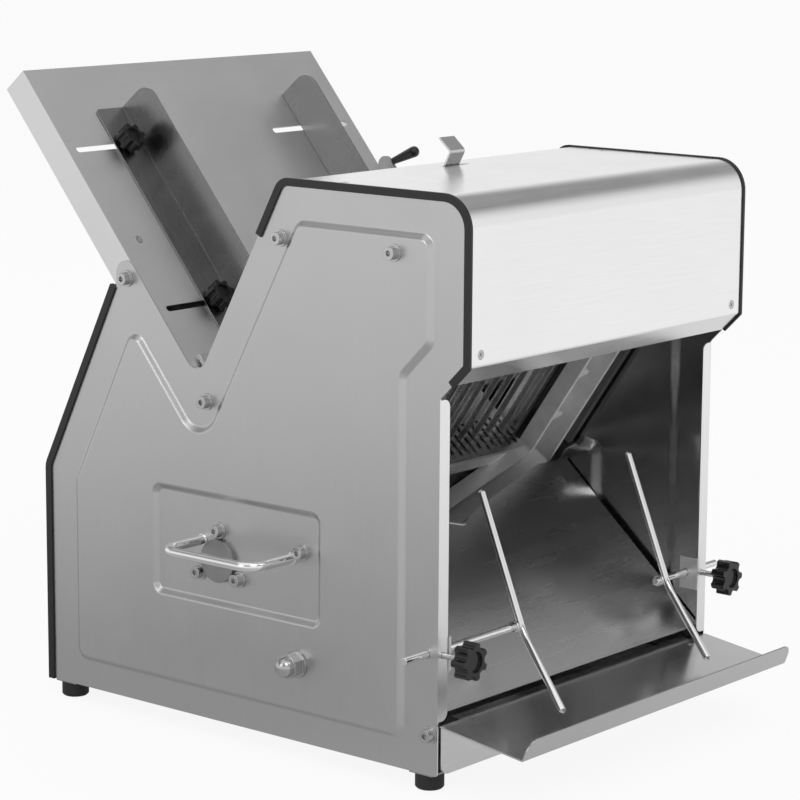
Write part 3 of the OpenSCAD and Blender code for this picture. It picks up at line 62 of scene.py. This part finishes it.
# Materials: all are procedural, over object coordinates in metres
class Graph:
    """A short way to write a procedural Principled material."""

    def __init__(self, name):
        self.mat = bpy.data.materials.new(name)
        self.mat.use_nodes = True
        self.tree = self.mat.node_tree
        self.bsdf = self.tree.nodes["Principled BSDF"]
        self.coord = self.node("ShaderNodeTexCoord")

    def node(self, kind, **values):
        """A new node, with values for its settings and its inputs."""
        n = self.tree.nodes.new(kind)
        for key, value in values.items():
            if hasattr(n, key):
                setattr(n, key, value)
            else:
                n.inputs[key.replace("_", " ")].default_value = value
        return n

    def link(self, a, b):
        self.tree.links.new(a, b)

    def noise(self, cells, detail, rough):
        """Noise with so many cells to the metre, as one number or as one for each axis."""
        if isinstance(cells, (int, float)):
            cells = (cells, cells, cells)
        m = self.node("ShaderNodeMapping")
        m.inputs["Scale"].default_value = cells
        self.link(self.coord.outputs["Object"], m.inputs["Vector"])
        n = self.node("ShaderNodeTexNoise", Scale=1.0, Detail=detail, Roughness=rough)
        self.link(m.outputs["Vector"], n.inputs["Vector"])
        return n.outputs["Fac"]

    def span(self, fac, low, high, start=NOISE_LOW, end=NOISE_HIGH):
        """What runs from start to end runs from low to high, and is held at both."""
        n = self.node("ShaderNodeMapRange")
        n.inputs["From Min"].default_value = start
        n.inputs["From Max"].default_value = end
        n.inputs["To Min"].default_value = low
        n.inputs["To Max"].default_value = high
        self.link(fac, n.inputs["Value"])
        return n.outputs["Result"]

    def sums(self, operation, a, b):
        """A sum or product of two outputs, or of an output and a number."""
        n = self.node("ShaderNodeMath", operation=operation)
        for socket, value in zip(n.inputs, (a, b)):
            if isinstance(value, (int, float)):
                socket.default_value = value
            else:
                self.link(value, socket)
        return n.outputs["Value"]

    def tint(self, fac, dark, light):
        n = self.node("ShaderNodeMix", data_type="RGBA")
        n.inputs[6].default_value = (*dark, 1)
        n.inputs[7].default_value = (*light, 1)
        self.link(fac, n.inputs[0])
        return n.outputs[2]

    def blend(self, fac, dark, light, start=NOISE_LOW):
        """Dark to light over the usual span of a noise."""
        return self.tint(self.span(fac, 0, 1, start), dark, light)

    def bump(self, layers, soft=0.0):
        """Bump from (height, strength, distance) layers, over normals that are softened at the edges."""
        normal = None
        if soft:
            bevel = self.node("ShaderNodeBevel", samples=6)
            bevel.inputs["Radius"].default_value = soft
            normal = bevel.outputs["Normal"]
        for height, strength, distance in layers:
            b = self.node("ShaderNodeBump", Strength=strength, Distance=distance)
            self.link(height, b.inputs["Height"])
            if normal is not None:
                self.link(normal, b.inputs["Normal"])
            normal = b.outputs["Normal"]
        self.link(normal, self.bsdf.inputs["Normal"])

    def set(self, **values):
        for key, value in values.items():
            socket = self.bsdf.inputs[key.replace("_", " ")]
            if isinstance(value, (int, float)):
                socket.default_value = value
            else:
                self.link(value, socket)


def grey(v):
    return (v, v, v)


def sheet_metal(name, base, rough, grain, spread=0.03, line=0.12, wear=0.03, vary=0.035):
    """Satin sheet with grain lines, a cloudy sheen and faint smudges.

    The grey base varies by the share vary, and the roughness by spread in the lines and by wear in
    the smudges. grain is the cells to the metre on each axis, and line the relief of the lines.
    """
    line_share, line_depth = 0.6, 0.00003
    g = Graph(name)
    lines = g.noise(grain, detail=2.0, rough=0.6)
    cloud = g.noise(5, detail=2.0, rough=0.5)
    smudge = g.noise(16, detail=3.0, rough=0.5)
    shade = g.sums("ADD", g.sums("MULTIPLY", lines, line_share), g.sums("MULTIPLY", cloud, 1 - line_share))
    g.set(
        Base_Color=g.blend(shade, grey(base * (1 - vary)), grey(min(1.0, base * (1 + vary)))),
        Metallic=1.0,
        Roughness=g.sums(
            "ADD",
            g.span(lines, rough - spread, rough + spread),
            g.span(smudge, -0.3 * wear, wear, start=0.4),
        ),
    )
    g.bump([(lines, line, line_depth)])
    return g.mat


def cast_metal(name="cast_alloy", base=0.83, metal=0.75):
    """A sand-cast skin with grit."""
    g = Graph(name)
    grit = g.noise(900, detail=4.0, rough=0.6)
    skin = g.noise(60, detail=4.0, rough=0.6)
    g.set(
        Base_Color=g.blend(skin, grey(base - 0.05), grey(base + 0.05)),
        Metallic=metal,
        Roughness=g.span(grit, 0.50, 0.66),
    )
    g.bump([(skin, 0.25, 0.0006), (grit, 0.35, 0.00015)], soft=0.0012)
    return g.mat


def turned_metal(name, base, rough):
    """Turned or rolled metal with fine tool marks and dull patches."""
    g = Graph(name)
    fine = g.noise(600, detail=3.0, rough=0.6)
    wide = g.noise(40, detail=4.0, rough=0.6)
    g.set(
        Base_Color=g.blend(wide, tuple(c * 0.86 for c in base), base),
        Metallic=1.0,
        Roughness=g.sums("ADD", g.span(fine, rough - 0.05, rough + 0.06), g.span(wide, -0.03, 0.05)),
    )
    g.bump([(fine, 0.2, 0.00006)], soft=0.0006)
    return g.mat


def chrome():
    """Bright plated rod, a little dulled by handling."""
    g = Graph("wire_chrome")
    fine = g.noise(800, detail=3.0, rough=0.6)
    wide = g.noise(30, detail=4.0, rough=0.6)
    g.set(
        Base_Color=g.tint(wide, grey(0.80), grey(0.90)),
        Metallic=1.0,
        Roughness=g.span(wide, 0.06, 0.16),
    )
    g.bump([(fine, 0.08, 0.00003)], soft=0.0005)
    return g.mat


def plastic(name, dark, light, rough, grain=0.15, coat=0.0, soft=0.0008):
    """Moulded plastic or rubber. grain is the relief of its skin, and soft the width of its edges."""
    g = Graph(name)
    fine = g.noise(1300, detail=3.0, rough=0.6)
    wide = g.noise(35, detail=4.0, rough=0.6)
    g.set(
        Base_Color=g.blend(wide, dark, light),
        Roughness=g.sums("ADD", g.span(fine, rough - 0.04, rough + 0.05), g.span(wide, -0.03, 0.06)),
        Coat_Weight=coat,
        Coat_Roughness=0.12,
    )
    g.bump([(fine, grain, 0.00008)], soft)
    return g.mat


def painted():
    """Sprayed motor paint with an orange-peel skin and dust."""
    g = Graph("motor_paint")
    peel = g.noise(350, detail=2.0, rough=0.5)
    dirt = g.noise(25, detail=5.0, rough=0.65)
    g.set(
        Base_Color=g.blend(dirt, (0.19, 0.22, 0.26), (0.25, 0.29, 0.34), start=0.35),
        Roughness=g.span(dirt, 0.34, 0.52),
        Coat_Weight=0.2,
    )
    g.bump([(peel, 0.25, 0.0002)], soft=0.0008)
    return g.mat


# Grains of the sheets, in cells to the metre on each axis: few cells along the lines, many across
UPRIGHT = (1500, 1500, 22)
LEVEL = (22, 1500, 1500)
SMOOTH_LEVEL = (4, 60, 60)
SMOOTH_UPRIGHT = (300, 300, 8)
BLADE_LINES = (300, 300, 40)
GUIDE_LINES = (1500, 40, 40)
BLASTED = (300, 300, 300)

materials = {
    "panel_steel": sheet_metal("panel_steel", 0.54, 0.34, UPRIGHT),
    "hood_steel": sheet_metal("hood_steel", 0.86, 0.20, LEVEL, line=0.04),
    "inner_steel": sheet_metal(
        "inner_steel", 0.66, 0.27, SMOOTH_LEVEL, spread=0.012, line=0.0, wear=0.004, vary=0.012
    ),
    "base_steel": sheet_metal("base_steel", 0.40, 0.36, LEVEL),
    "cast_alloy": cast_metal(),
    "blade_steel": sheet_metal("blade_steel", 0.60, 0.24, BLADE_LINES, line=0.0),
    "machined_steel": turned_metal("machined_steel", grey(0.52), 0.24),
    "bearing_bronze": turned_metal("bearing_bronze", (0.60, 0.43, 0.20), 0.28),
    "pulley_iron": turned_metal("pulley_iron", grey(0.27), 0.42),
    "bolt_steel": turned_metal("bolt_steel", grey(0.55), 0.22),
    "wire_chrome": chrome(),
    "motor_paint": painted(),
    "trim_rubber": plastic("trim_rubber", grey(0.004), grey(0.007), 0.36, grain=0.12),
    "foot_rubber": plastic("foot_rubber", grey(0.008), grey(0.016), 0.58, grain=0.4),
    "belt_rubber": plastic("belt_rubber", grey(0.012), grey(0.026), 0.62, grain=0.5, soft=0.0004),
    "shoe_plastic": plastic("shoe_plastic", (0.62, 0.60, 0.55), (0.72, 0.70, 0.65), 0.45),
    "rail_plastic": plastic("rail_plastic", grey(0.06), grey(0.09), 0.42),
    "knob_plastic": plastic("knob_plastic", grey(0.003), grey(0.006), 0.24, grain=0.06, soft=0.0),
    "grip_plastic": plastic("grip_plastic", grey(0.004), grey(0.008), 0.28, soft=0.0),
    "box_plastic": plastic("box_plastic", grey(0.022), grey(0.036), 0.42, grain=0.45),
    "start_green": plastic(
        "start_green", (0.012, 0.13, 0.035), (0.02, 0.20, 0.055), 0.24, grain=0.1, coat=0.4
    ),
    "stop_red": plastic("stop_red", (0.28, 0.012, 0.010), (0.40, 0.02, 0.015), 0.24, grain=0.1, coat=0.4),
}
# Finishes that differ from the slot's own, as the photograph shows them; the darker inside copy holds
# painted shade, and the lighter post and cast copies hold painted light
board_steel = sheet_metal("board_steel", 0.70, 0.36, LEVEL)
guide_steel = sheet_metal("guide_steel", 0.30, 0.26, GUIDE_LINES)
tray_steel = sheet_metal("tray_steel", 0.62, 0.20, LEVEL, line=0.04)
drawer_steel = sheet_metal("drawer_steel", 0.80, 0.34, LEVEL)
# Painted shade: a darker, smoother copy of the panel steel for the panel's inside faces and the inner bands
# of its steps
painted_shade_inside = sheet_metal("painted_shade_inside", 0.46, 0.17, SMOOTH_UPRIGHT, spread=0.01, line=0.0)
# Painted light: a lighter copy of the panel steel for the faces of the panel that turn to the front
post_painted_light = sheet_metal("post_painted_light", 0.86, 0.30, UPRIGHT)
bracket_steel = sheet_metal("bracket_steel", 0.70, 0.42, BLASTED)
cap_metal = turned_metal("cap_metal", grey(0.34), 0.46)
# Painted highlight: a nearly white, less metallic copy of the cast finish for the frame's rims and gussets
painted_highlight_cast = cast_metal("cast_alloy_painted_highlight", 0.93, 0.15)
finish_of = {
    "loading_board": board_steel, "loaf_guide_left": guide_steel, "loaf_guide_right": guide_steel,
    "output_tray": tray_steel, "bearing_caps": cap_metal, "clamp_brackets": bracket_steel,
    "crumb_drawer": drawer_steel,
}


# Pieces from the CAD: finish, edges and shading
def finish_mesh(obj, width=0.0003, segments=2, keep_sharp=False):
    """Clean tessellation, fine broken edges and even shading, as modifiers only."""
    flat_angle, edge_angle, face_weight = math.radians(0.4), math.radians(32), 100
    for p in obj.data.polygons:
        p.use_smooth = True
    if obj.data.has_custom_normals and "custom_normal" in obj.data.attributes:
        obj.data.attributes.remove(obj.data.attributes["custom_normal"])
    weld = obj.modifiers.new("weld", "WELD")
    weld.merge_threshold = SAME
    flat = obj.modifiers.new("flat", "DECIMATE")
    flat.decimate_type = "DISSOLVE"
    flat.angle_limit = flat_angle
    bevel = obj.modifiers.new("edges", "BEVEL")
    bevel.width = width
    bevel.segments = segments
    bevel.limit_method = "ANGLE"
    bevel.angle_limit = edge_angle
    bevel.use_clamp_overlap = True
    bevel.miter_outer = "MITER_ARC"
    even = obj.modifiers.new("even", "WEIGHTED_NORMAL")
    even.keep_sharp = keep_sharp
    even.weight = face_weight


GUIDE_KNOBS = [f"guide_knob_{side}_{end}" for side in ("left", "right") for end in ("high", "low")]
CLAMP_KNOBS = ["clamp_knob_left", "clamp_knob_right"]
KNOB_EDGE = 0.0022
for name, obj in nodes.items():
    obj.data.materials.clear()
    obj.data.materials.append(finish_of.get(name, materials[slot_of[name]]))
    if name in GUIDE_KNOBS + CLAMP_KNOBS:
        finish_mesh(obj, KNOB_EDGE, segments=5)
    else:
        finish_mesh(obj)

# The clamp knobs stand on steel studs: faces near the axis and behind the plastic head
STUD_REACH, HEAD_DEPTH = 0.0062, 0.016
for name in CLAMP_KNOBS:
    mesh = nodes[name].data
    mesh.materials.append(materials["bolt_steel"])
    low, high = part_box(name)
    mid = (low + high) / 2
    for p in mesh.polygons:
        off_axis = math.hypot(p.center.x - mid.x, p.center.z - mid.z)
        if off_axis < STUD_REACH and p.center.y > low.y + HEAD_DEPTH:
            p.material_index = 1


def prism(bm, top, low):
    """A closed solid between two outlines of as many points."""
    upper = [bm.verts.new(p) for p in top]
    lower = [bm.verts.new(p) for p in low]
    bm.faces.new(upper)
    bm.faces.new(lower[::-1])
    for i in range(len(upper)):
        j = (i + 1) % len(upper)
        bm.faces.new((upper[i], lower[i], lower[j], upper[j]))


# Front blade frame: ALONG its members and AHEAD, out of the open side of its channels
BLADE_LEAN = math.radians(55.4)
ALONG = Vector((0, -math.cos(BLADE_LEAN), math.sin(BLADE_LEAN)))
AHEAD = Vector((0, -math.sin(BLADE_LEAN), -math.cos(BLADE_LEAN)))


def dress_frame(name, wall_step=0.011, wall_d=0.020, reach=0.014, root=0.009, tip=0.0025):
    """Rims on the frame's two walls in a nearly white copy of the cast finish as painted highlight, and a
    flat-topped gusset over each rib of the side channels in that same painted highlight.

    The inner wall is wall_d deep and ends wall_step short of the outer one. A gusset reaches out
    from it by reach, and its half width falls from root to tip.
    """
    wall_x, rib_end_x, rib_face, rib_slot = 0.1915, 0.209, 0.0004, 0.020
    level, sunk, steps = 0.0006, 0.0005, 8
    mesh = nodes[name].data
    mesh.materials.append(painted_highlight_cast)
    rim = max(p.center.dot(AHEAD) for p in mesh.polygons if p.normal.dot(AHEAD) > 0.99)
    inner_rim = rim - wall_step
    ribs = {}
    for p in mesh.polygons:
        height = p.center.dot(AHEAD)
        # The rim faces take the painted highlight as slot 1
        if p.normal.dot(AHEAD) > 0.99 and min(abs(height - rim), abs(height - inner_rim)) < level:
            p.material_index = 1
        across = abs(p.normal.dot(ALONG)) > 0.99
        if across and wall_x < abs(p.center.x) < rib_end_x and p.area < rib_face:
            along = p.center.dot(ALONG)
            ribs.setdefault((p.center.x > 0, round(along / rib_slot)), []).append(along)
    plan = [(reach * i / steps, tip + (root - tip) * (1 - i / steps) ** 2) for i in range(steps + 1)]
    plan = [(-0.001, root)] + plan
    outline = plan + [(out, -half) for out, half in reversed(plan)]
    bm = bmesh.new()
    for (right, _), places in ribs.items():
        side = 1 if right else -1
        along = sum(places) / len(places)
        flat = [X * side * (wall_x + out) + ALONG * (along + half) for out, half in outline]
        top = inner_rim - level
        floor = inner_rim - wall_d - sunk
        prism(bm, [p + AHEAD * top for p in flat], [p + AHEAD * floor for p in flat])
    bmesh.ops.recalc_face_normals(bm, faces=bm.faces)
    caps = bpy.data.meshes.new(name + "_gussets")
    bm.to_mesh(caps)
    bm.free()
    obj = bpy.data.objects.new(name + "_gussets", caps)
    scene.collection.objects.link(obj)
    caps.materials.append(painted_highlight_cast)
    finish_mesh(obj, 0.0005)
    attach(obj, body_of[name])


dress_frame("front_blade_frame")


# Small screws with crossed heads
def islands(bm):
    """The separate solids of a mesh, each as a list of its faces."""
    seen = set()
    for first in bm.faces:
        if first in seen:
            continue
        seen.add(first)
        found = []
        stack = [first]
        while stack:
            f = stack.pop()
            found.append(f)
            for other in (g for e in f.edges for g in e.link_faces):
                if other not in seen:
                    seen.add(other)
                    stack.append(other)
        yield found


def head_of(faces):
    """Centre and normal of a screw's largest flat, which is its head."""
    flats = {}
    for f in faces:
        flats.setdefault(tuple(round(c, 2) for c in f.normal), []).append(f)
    head = max(flats.values(), key=lambda flat: sum(f.calc_area() for f in flat))
    area = sum(f.calc_area() for f in head)
    centre = sum((f.calc_center_median() * f.calc_area() for f in head), Vector()) / area
    return centre, head[0].normal.copy()


def crossed_screws(name, arm=0.0029, half=0.00048, deep=0.0010):
    """The countersunk screws with a tapered cross cut into each head, of that arm, half width and depth."""
    above, taper, turned = 0.0004, 0.62, math.radians(31)
    bm = bmesh.new()
    bm.from_mesh(nodes[name].data)
    bmesh.ops.remove_doubles(bm, verts=bm.verts, dist=SAME)
    heads = [head_of(faces) for faces in islands(bm)]
    mesh = bpy.data.meshes.new(name + "_crossed")
    bm.to_mesh(mesh)
    bm.free()
    ring = [(arm, half), (half, half), (half, arm), (-half, arm), (-half, half), (-arm, half)]
    ring += [(-x, -y) for x, y in ring]
    cut = bmesh.new()
    for centre, normal in heads:
        turn = normal.to_track_quat("Z", "Y") @ Matrix.Rotation(turned, 3, "Z").to_quaternion()
        top = [centre + turn @ Vector((x, y, above)) for x, y in ring]
        low = [centre + turn @ Vector((x * taper, y * taper, -deep)) for x, y in ring]
        prism(cut, top, low)
    bmesh.ops.recalc_face_normals(cut, faces=cut.faces)
    cut_mesh = bpy.data.meshes.new("cutter")
    cut.to_mesh(cut_mesh)
    cut.free()
    cutter = bpy.data.objects.new("cutter", cut_mesh)
    obj = bpy.data.objects.new(name + "_crossed", mesh)
    scene.collection.objects.link(cutter)
    scene.collection.objects.link(obj)
    minus = obj.modifiers.new("cross", "BOOLEAN")
    minus.operation = "DIFFERENCE"
    minus.solver = "EXACT"
    minus.object = cutter
    done = bpy.data.meshes.new_from_object(obj.evaluated_get(bpy.context.evaluated_depsgraph_get()))
    obj.modifiers.clear()
    obj.data = done
    bpy.data.objects.remove(cutter)
    done.materials.clear()
    done.materials.append(materials[slot_of[name]])
    finish_mesh(obj, 0.0001, segments=1)
    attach(obj, body_of[name])
    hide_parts(name)


crossed_screws("tray_screws")
crossed_screws("sheet_screws")


# Side panels with pressed fields
def pressed_panel(name, outer_band=0.0040, inner_band=0.0090, rows=10):
    """The side panel with its straight steps drawn out into the soft bands that a press leaves.

    A wall of a step becomes an S-shaped band, wide on the inside of the panel and narrow outside.
    """
    sheet, step, sheet_start, loose = 0.0015, 0.0045, 0.228, 0.0003
    bm = bmesh.new()
    bm.from_mesh(nodes[name].data)
    bmesh.ops.remove_doubles(bm, verts=bm.verts, dist=SAME)
    depth = max(abs(v.co.x) for v in bm.verts)
    walls = []
    for f in bm.faces:
        reach = [abs(v.co.x) for v in f.verts]
        upright = abs(f.normal.x) < 0.02
        if upright and max(reach) - min(reach) > step - 0.0001 and min(reach) > sheet_start:
            walls.append(f)

    # A column of points stands on each corner of a wall; its key is the side and the place
    level = {}
    lean = {}
    for f in walls:
        outer = max(abs(v.co.x) for v in f.verts) > depth - SAME
        for v in f.verts:
            key = (outer, round(v.co.y, 5), round(v.co.z, 5))
            level.setdefault(key, {})[round(abs(v.co.x), 5)] = v
            lean.setdefault(key, []).append(f.normal.copy())
    strips = []
    for f in walls:
        outer = max(abs(v.co.x) for v in f.verts) > depth - SAME
        for e in f.edges:
            a, b = (v.co for v in e.verts)
            if abs(a.x - b.x) > SAME:
                continue
            keys = [(outer, round(p.y, 5), round(p.z, 5)) for p in (a, b)]
            foot_x = min(level[keys[0]]) if outer else max(level[keys[0]])
            if abs(abs(a.x) - foot_x) < SAME:
                strips.append((keys, f.normal.copy(), outer))
    bmesh.ops.delete(bm, geom=walls, context="FACES_ONLY")

    # The points of a column run from the foot to the rim of the step, spread over the band
    columns = {}
    for key, ends in level.items():
        normals = []
        for n in lean[key]:
            if all((n - m).length > 0.001 for m in normals):
                normals.append(n)
        way = sum(normals, Vector()).normalized()
        way /= max(0.5, way.dot(normals[0]))
        foot_x, rim_x = (min(ends), max(ends)) if key[0] else (max(ends), min(ends))
        foot, rim = ends[foot_x], ends[rim_x]
        band = outer_band if key[0] else inner_band
        a, b = foot.co + way * band, rim.co - way * band
        column = [foot]
        for i in range(1, rows):
            t = i / rows
            s = t * t * (3 - 2 * t)
            p = a.lerp(b, t)
            p.x = a.x + (b.x - a.x) * s
            column.append(bm.verts.new(p))
        foot.co, rim.co = a, b
        columns[key] = column + [rim]

    inside = set()
    for (key_a, key_b), normal, outer in strips:
        a, b = columns[key_a], columns[key_b]
        for i in range(rows):
            f = bm.faces.new((a[i], b[i], b[i + 1], a[i + 1]))
            f.normal_update()
            if f.normal.dot(normal) < 0:
                f.normal_flip()
            f.smooth = True
            if not outer:
                inside.add(f)
    # Painted shade: the inside faces and the inner bands take the darker copy of the steel as slot 1
    for f in bm.faces:
        x = abs(f.calc_center_median().x)
        behind_field = abs(x - (depth - sheet)) < loose
        behind_flat = x < depth - step - sheet + loose
        if f in inside or (abs(f.normal.x) > 0.9 and (behind_field or behind_flat)):
            f.material_index = 1
        # Painted light: faces turned to the front, the posts, take the lighter copy of the steel as slot 2
        elif f.normal.y < -0.9:
            f.material_index = 2
    for e in bm.edges:
        e.smooth = len(e.link_faces) == 2 and e.calc_face_angle(0) < math.radians(30)
    mesh = bpy.data.meshes.new(name + "_pressed")
    bm.to_mesh(mesh)
    bm.free()
    obj = bpy.data.objects.new(name + "_pressed", mesh)
    scene.collection.objects.link(obj)
    for mat in (materials["panel_steel"], painted_shade_inside, post_painted_light):
        mesh.materials.append(mat)
    finish_mesh(obj, keep_sharp=True)
    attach(obj, body_of[name])
    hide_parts(name)


for side in ("left", "right"):
    pressed_panel("side_panel_" + side)


# Studio: soft world, pale floor, three soft lamps and the photograph's camera
def grey_ramp(tree, stops):
    """A colour ramp through (place, grey) stops."""
    ramp = tree.nodes.new("ShaderNodeValToRGB")
    elements = ramp.color_ramp.elements
    for i, (at, value) in enumerate(stops):
        e = elements[i] if i < 2 else elements.new(at)
        e.position = at
        e.color = (*grey(value), 1)
    return ramp


def build_world():
    """White for the camera. In reflections bright below, dark at the side and bright above."""
    greys = ((0.0, 0.90), (0.26, 0.88), (0.42, 0.66), (0.56, 0.24), (0.70, 0.40), (0.86, 0.95), (1.0, 1.0))
    world = bpy.data.worlds.new("studio")
    scene.world = world
    world.use_nodes = True
    t = world.node_tree
    t.nodes.clear()
    new, link = t.nodes.new, t.links.new
    out = new("ShaderNodeOutputWorld")
    coord = new("ShaderNodeTexCoord")
    split = new("ShaderNodeSeparateXYZ")
    link(coord.outputs["Generated"], split.inputs["Vector"])
    ramp = grey_ramp(t, greys)
    link(split.outputs["Z"], ramp.inputs["Fac"])
    air = new("ShaderNodeBackground")
    link(ramp.outputs["Color"], air.inputs["Color"])
    air.inputs["Strength"].default_value = 1.0
    white = new("ShaderNodeBackground")
    white.inputs["Color"].default_value = (1, 1, 1, 1)
    white.inputs["Strength"].default_value = 1.0
    path = new("ShaderNodeLightPath")
    mix = new("ShaderNodeMixShader")
    link(path.outputs["Is Camera Ray"], mix.inputs["Fac"])
    link(air.outputs["Background"], mix.inputs[1])
    link(white.outputs["Background"], mix.inputs[2])
    link(mix.outputs["Shader"], out.inputs["Surface"])


def build_floor():
    """Pale paper that keeps its shadow and glows to the camera and in reflections, with painted shade in the
    reflections.
    """
    reach, paper_grey, glow_share = 30, 0.86, 0.90
    mesh = bpy.data.meshes.new("floor")
    corners = [(-reach, -reach, 0), (reach, -reach, 0), (reach, reach, 0), (-reach, reach, 0)]
    mesh.from_pydata(corners, [], [(0, 1, 2, 3)])
    floor = bpy.data.objects.new("floor", mesh)
    scene.collection.objects.link(floor)
    mat = bpy.data.materials.new("floor")
    mat.use_nodes = True
    t = mat.node_tree
    t.nodes.clear()
    new, link = t.nodes.new, t.links.new
    out = new("ShaderNodeOutputMaterial")
    paper = new("ShaderNodeBsdfDiffuse")
    paper.inputs["Color"].default_value = (*grey(paper_grey), 1)
    glow = new("ShaderNodeEmission")
    glow.inputs["Strength"].default_value = 1.0
    path = new("ShaderNodeLightPath")
    seen = new("ShaderNodeMath")
    seen.operation = "MAXIMUM"
    link(path.outputs["Is Camera Ray"], seen.inputs[0])
    link(path.outputs["Is Glossy Ray"], seen.inputs[1])
    part = new("ShaderNodeMath")
    part.operation = "MULTIPLY"
    part.inputs[1].default_value = glow_share
    link(seen.outputs["Value"], part.inputs[0])

    # Painted shade: in reflections the glowing paper is painted darker towards a point beside the object, as
    # soft light would fall off there
    painted_shade_centre, far = (-0.55, 0.25, 0), 4.0
    coord = new("ShaderNodeTexCoord")
    away = new("ShaderNodeVectorMath")
    away.operation = "DISTANCE"
    away.inputs[1].default_value = painted_shade_centre
    link(coord.outputs["Object"], away.inputs[0])
    scaled = new("ShaderNodeMath")
    scaled.operation = "DIVIDE"
    scaled.inputs[1].default_value = far
    link(away.outputs["Value"], scaled.inputs[0])
    painted_falloff = grey_ramp(t, ((0.0, 0.34), (0.10, 0.46), (0.36, 0.76), (0.7, 1.0)))
    link(scaled.outputs["Value"], painted_falloff.inputs["Fac"])
    shade = new("ShaderNodeMix")
    shade.data_type = "RGBA"
    shade.inputs[6].default_value = (1, 1, 1, 1)
    link(path.outputs["Is Glossy Ray"], shade.inputs[0])
    link(painted_falloff.outputs["Color"], shade.inputs[7])
    link(shade.outputs[2], glow.inputs["Color"])
    mix = new("ShaderNodeMixShader")
    link(part.outputs["Value"], mix.inputs["Fac"])
    link(paper.outputs["BSDF"], mix.inputs[1])
    link(glow.outputs["Emission"], mix.inputs[2])
    link(mix.outputs["Shader"], out.inputs["Surface"])
    floor.data.materials.append(mat)


def build_lamp(name, place, size, power):
    """A soft disk that looks at the middle of the object."""
    middle = Vector((0, 0, 0.3))
    light = bpy.data.lights.new(name, "AREA")
    light.shape = "DISK"
    light.size = size
    light.energy = power
    lamp = bpy.data.objects.new(name, light)
    lamp.location = place
    lamp.rotation_euler = (middle - Vector(place)).to_track_quat("-Z", "Y").to_euler()
    scene.collection.objects.link(lamp)


def build_camera():
    """The camera that was worked out from the photograph's edges."""
    yaw, pitch, roll = math.radians(50.31), math.radians(10.48), math.radians(0.36)
    place, lens, sensor = (-2.3476, -1.9492, 0.8938), 131.36, 36
    ahead = Vector((math.sin(yaw) * math.cos(pitch), math.cos(yaw) * math.cos(pitch), -math.sin(pitch)))
    level = Vector((math.cos(yaw), -math.sin(yaw), 0))
    upright = level.cross(ahead)
    right = level * math.cos(roll) + upright * math.sin(roll)
    up = upright * math.cos(roll) - level * math.sin(roll)
    data = bpy.data.cameras.new("photo_camera")
    data.sensor_width = sensor
    data.lens = lens
    data.clip_end = 100
    cam = bpy.data.objects.new("photo_camera", data)
    cam.matrix_world = Matrix.Translation(place) @ Matrix((right, up, -ahead)).transposed().to_4x4()
    scene.collection.objects.link(cam)
    scene.camera = cam


build_world()
build_floor()
build_lamp("key", (-1.6, -2.6, 3.2), size=2.2, power=30)
build_lamp("side", (-3.2, 0.6, 2.2), size=1.8, power=14)
build_lamp("back", (1.6, 2.6, 2.8), size=2.0, power=16)
build_camera()
scene.view_settings.view_transform = "Standard"
